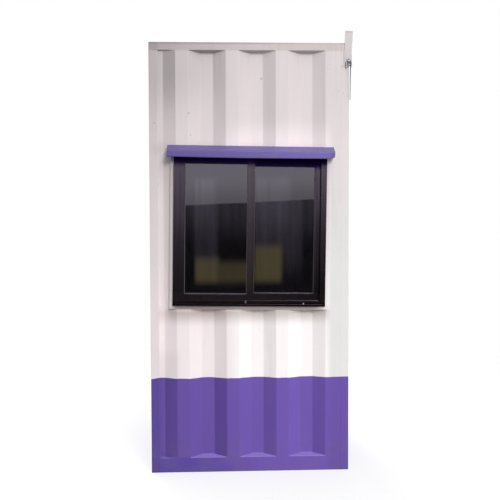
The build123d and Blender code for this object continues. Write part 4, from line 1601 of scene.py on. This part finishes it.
# %% [markdown]
# # Door
# The door is in the back wall, so it is plain: a folded steel leaf with two shallow pressed
# panels that keep the sheet from drumming, in a flat-bar frame like the window's, with three butt
# hinges, a D handle and a lock. The leaf starts as a box whose front is cut in two, and each half
# is inset and pushed in.

# %% Door frame
DOOR_HOLE = -DOORWAY / 2, DOORWAY / 2, DOORWAY_SILL, DOORWAY_TOP
door_trim = four_bars("door_trim", *DOOR_HOLE, 0, L_BAR, overrun=FLANGE_OVERRUN)
soften(door_trim, 0.8 * MM)
hand_over(place_on(door_trim, BACK), cabin_paint, "white_paint", "door_frame")

# %% [markdown]
# ## Door seal
# The leaf closes against a rubber strip on the inside of the frame. It keeps rain and light out
# of the gap round the leaf, which would otherwise show as a bright line through the window.

# %% Door seal
SEAL = [(38, 0), (49, 0), (49, 7), (47, 9), (40, 9), (38, 6.5)]
seal = four_bars("door_seal", *DOOR_HOLE, 0, SEAL)
soften(seal, 0.8 * MM)
hand_over(place_on(seal, BACK), rubber, "black_aluminium")

# %% Door leaf
LEAF_SHEET, PANEL_BORDER, PANEL_SLOPE, PANEL_DEPTH = 2 * MM, 95 * MM, 14 * MM, 5 * MM
LEAF_MIDDLE = 1150 * MM  # height of the bar between its panels
leaf = block("door_pan", (-390, -3, 94), (390, 37, 2074))
edit(leaf)
pick("faces", lambda f: f.normal.y > 0.9)
bpy.ops.mesh.delete(type="FACE")
cut((0, 0, LEAF_MIDDLE), (0, 0, 1))
pick("faces", lambda f: f.normal.y < -0.9)
for border in (PANEL_BORDER, PANEL_SLOPE):
    bpy.ops.mesh.inset(thickness=border, use_individual=True)
move(0, PANEL_DEPTH, 0)
pick("edges", folded(0.1))
bpy.ops.mesh.bevel(offset=2.6 * MM, segments=3, affect="EDGES")
leave()
thicken(leaf, LEAF_SHEET)
hand_over(place_on(leaf, BACK), cabin_paint, "white_paint", "door_leaf")

# %% [markdown]
# ## Hinges
# A butt hinge is two leaves of plate whose edges roll round one pin in turn, as five knuckles.
# The barrel is a cylinder cut into knuckles and pinched at each joint. One hinge is modelled,
# with its six countersunk screws, and copied to three heights.

# %% Hinge barrel
PIN_X, PIN_Y, PIN_RADIUS, HINGE_HALF, KNUCKLE = -391.5, -10, 7, 50, 20  # in mm
PINCH = 0.86  # how far the barrel narrows where two knuckles meet
pin = Matrix.Translation((PIN_X * MM, PIN_Y * MM, 0))
barrel = put(rod("hinge_barrel", 24, PIN_RADIUS, -HINGE_HALF, HINGE_HALF), pin)
edit(barrel)
for k in range(-1, 3):
    joint = pin @ Vector((0, 0, (k - 0.5) * KNUCKLE * MM))
    for step in (-0.5, 0, 0.5):
        cut((0, 0, joint.z + step * MM), (0, 0, 1))
    pick("verts", lambda v: abs(v.co.z - joint.z) < 0.1 * MM)
    bpy.ops.transform.resize(value=(PINCH, PINCH, 1), center_override=joint)
leave()
print("hinge barrel:", len(barrel.data.polygons), "faces")

# %% Hinge leaves and screws
parts = [barrel]
for way in (-1, 1):
    near, far = PIN_X + way * 1.2, PIN_X + way * 28
    low, high = sorted((near, far))
    plate = block(f"hinge_plate_{way}", (low, -6, -HINGE_HALF), (high, -3, HINGE_HALF))
    edit(plate)

    def far_corner(e):
        at = middle(e) / MM
        return abs(at.x - far) < 0.01 and abs(at.z) > 0.9 * HINGE_HALF

    pick("edges", far_corner)
    bpy.ops.mesh.bevel(offset=5 * MM, segments=4, affect="EDGES")
    leave()
    parts.append(plate)
    for z in (-34, 0, 34):
        place = Vector((PIN_X + way * 18, -6.2, z)) * MM
        parts.append(disc("hinge_screw", place, 4, 1.2, [(1.2, 0), (0.9, -0.9)], 16))
hinge = join("hinge", parts)
soften(hinge, 0.4 * MM)
copies = []
for k, z in enumerate((314, 1084, 1854)):
    twin = put(copy_of(hinge, f"door_hinge_{k}"), Matrix.Translation((0, 0, z * MM)))
    copies.append(place_on(twin, BACK))
bpy.data.objects.remove(hinge)
hand_over(join("butt_hinges", copies), dark_steel, "dark_steel", "door_hinges")

# %% [markdown]
# ## Handle and lock
# The grip is a round bar with two bent ends. A circle is pulled out from the leaf, spun round
# each bend and pulled along the grip, and each end stands on a turned rose. Below it sits a
# cylinder lock with its keyway.

# %% Handle
GRIP, GRIP_X, GRIP_LOW, GRIP_HIGH = 7 * MM, 320 * MM, 1014 * MM, 1174 * MM
LEAF_FACE, GRIP_OUT, BEND_RADIUS = -3 * MM, -48 * MM, 16 * MM
ROSE, ROSE_THICK, ROSE_STEPS = 17, 3, [(2, 1), (5, 0)]  # in mm
size = {"vertices": 20, "radius": GRIP, "rotation": (math.pi / 2, 0, 0)}
grip = new_piece("circle", "grip", location=(GRIP_X, LEAF_FACE, GRIP_LOW), **size)
edit(grip)
arm = GRIP_OUT - LEAF_FACE + BEND_RADIUS
pull(0, arm, 0)
for z in (GRIP_LOW + BEND_RADIUS, GRIP_HIGH - BEND_RADIUS):
    centre = (GRIP_X, GRIP_OUT + BEND_RADIUS, z)
    bpy.ops.mesh.spin(steps=10, angle=math.pi / 2, center=centre, axis=(1, 0, 0))
    if z < GRIP_HIGH - BEND_RADIUS:
        pull(0, 0, GRIP_HIGH - GRIP_LOW - 2 * BEND_RADIUS)
pull(0, -arm, 0)
make_sound(0.1 * MM)
leave()
disc_y = LEAF_FACE - ROSE_THICK / 2 * MM
parts = [grip]
for z in (GRIP_LOW, GRIP_HIGH):
    parts.append(disc("rose", (GRIP_X, disc_y, z), ROSE, ROSE_THICK, ROSE_STEPS, 36))
handle = join("door_grip", parts)
soften(handle, 0.5 * MM)
hand_over(place_on(handle, BACK), bright_steel, "bright_steel", "door_handle")

# %% Lock
LOCK, LOCK_STEPS = 19, [(2.5, 1), (6, 0), (0.6, -1)]  # in mm
lock = disc("door_lock", (GRIP_X, disc_y, 930 * MM), LOCK, ROSE_THICK, LOCK_STEPS, 36)
keyway = block("keyway", (318.7, -6.4, 922), (321.3, -5.6, 938))
soften(keyway, 0.3 * MM)
soften(lock, 0.4 * MM)
hand_over(place_on(lock, BACK), bright_steel, "bright_steel")
hand_over(place_on(keyway, BACK), rubber, "dark_steel")

# %% [markdown]
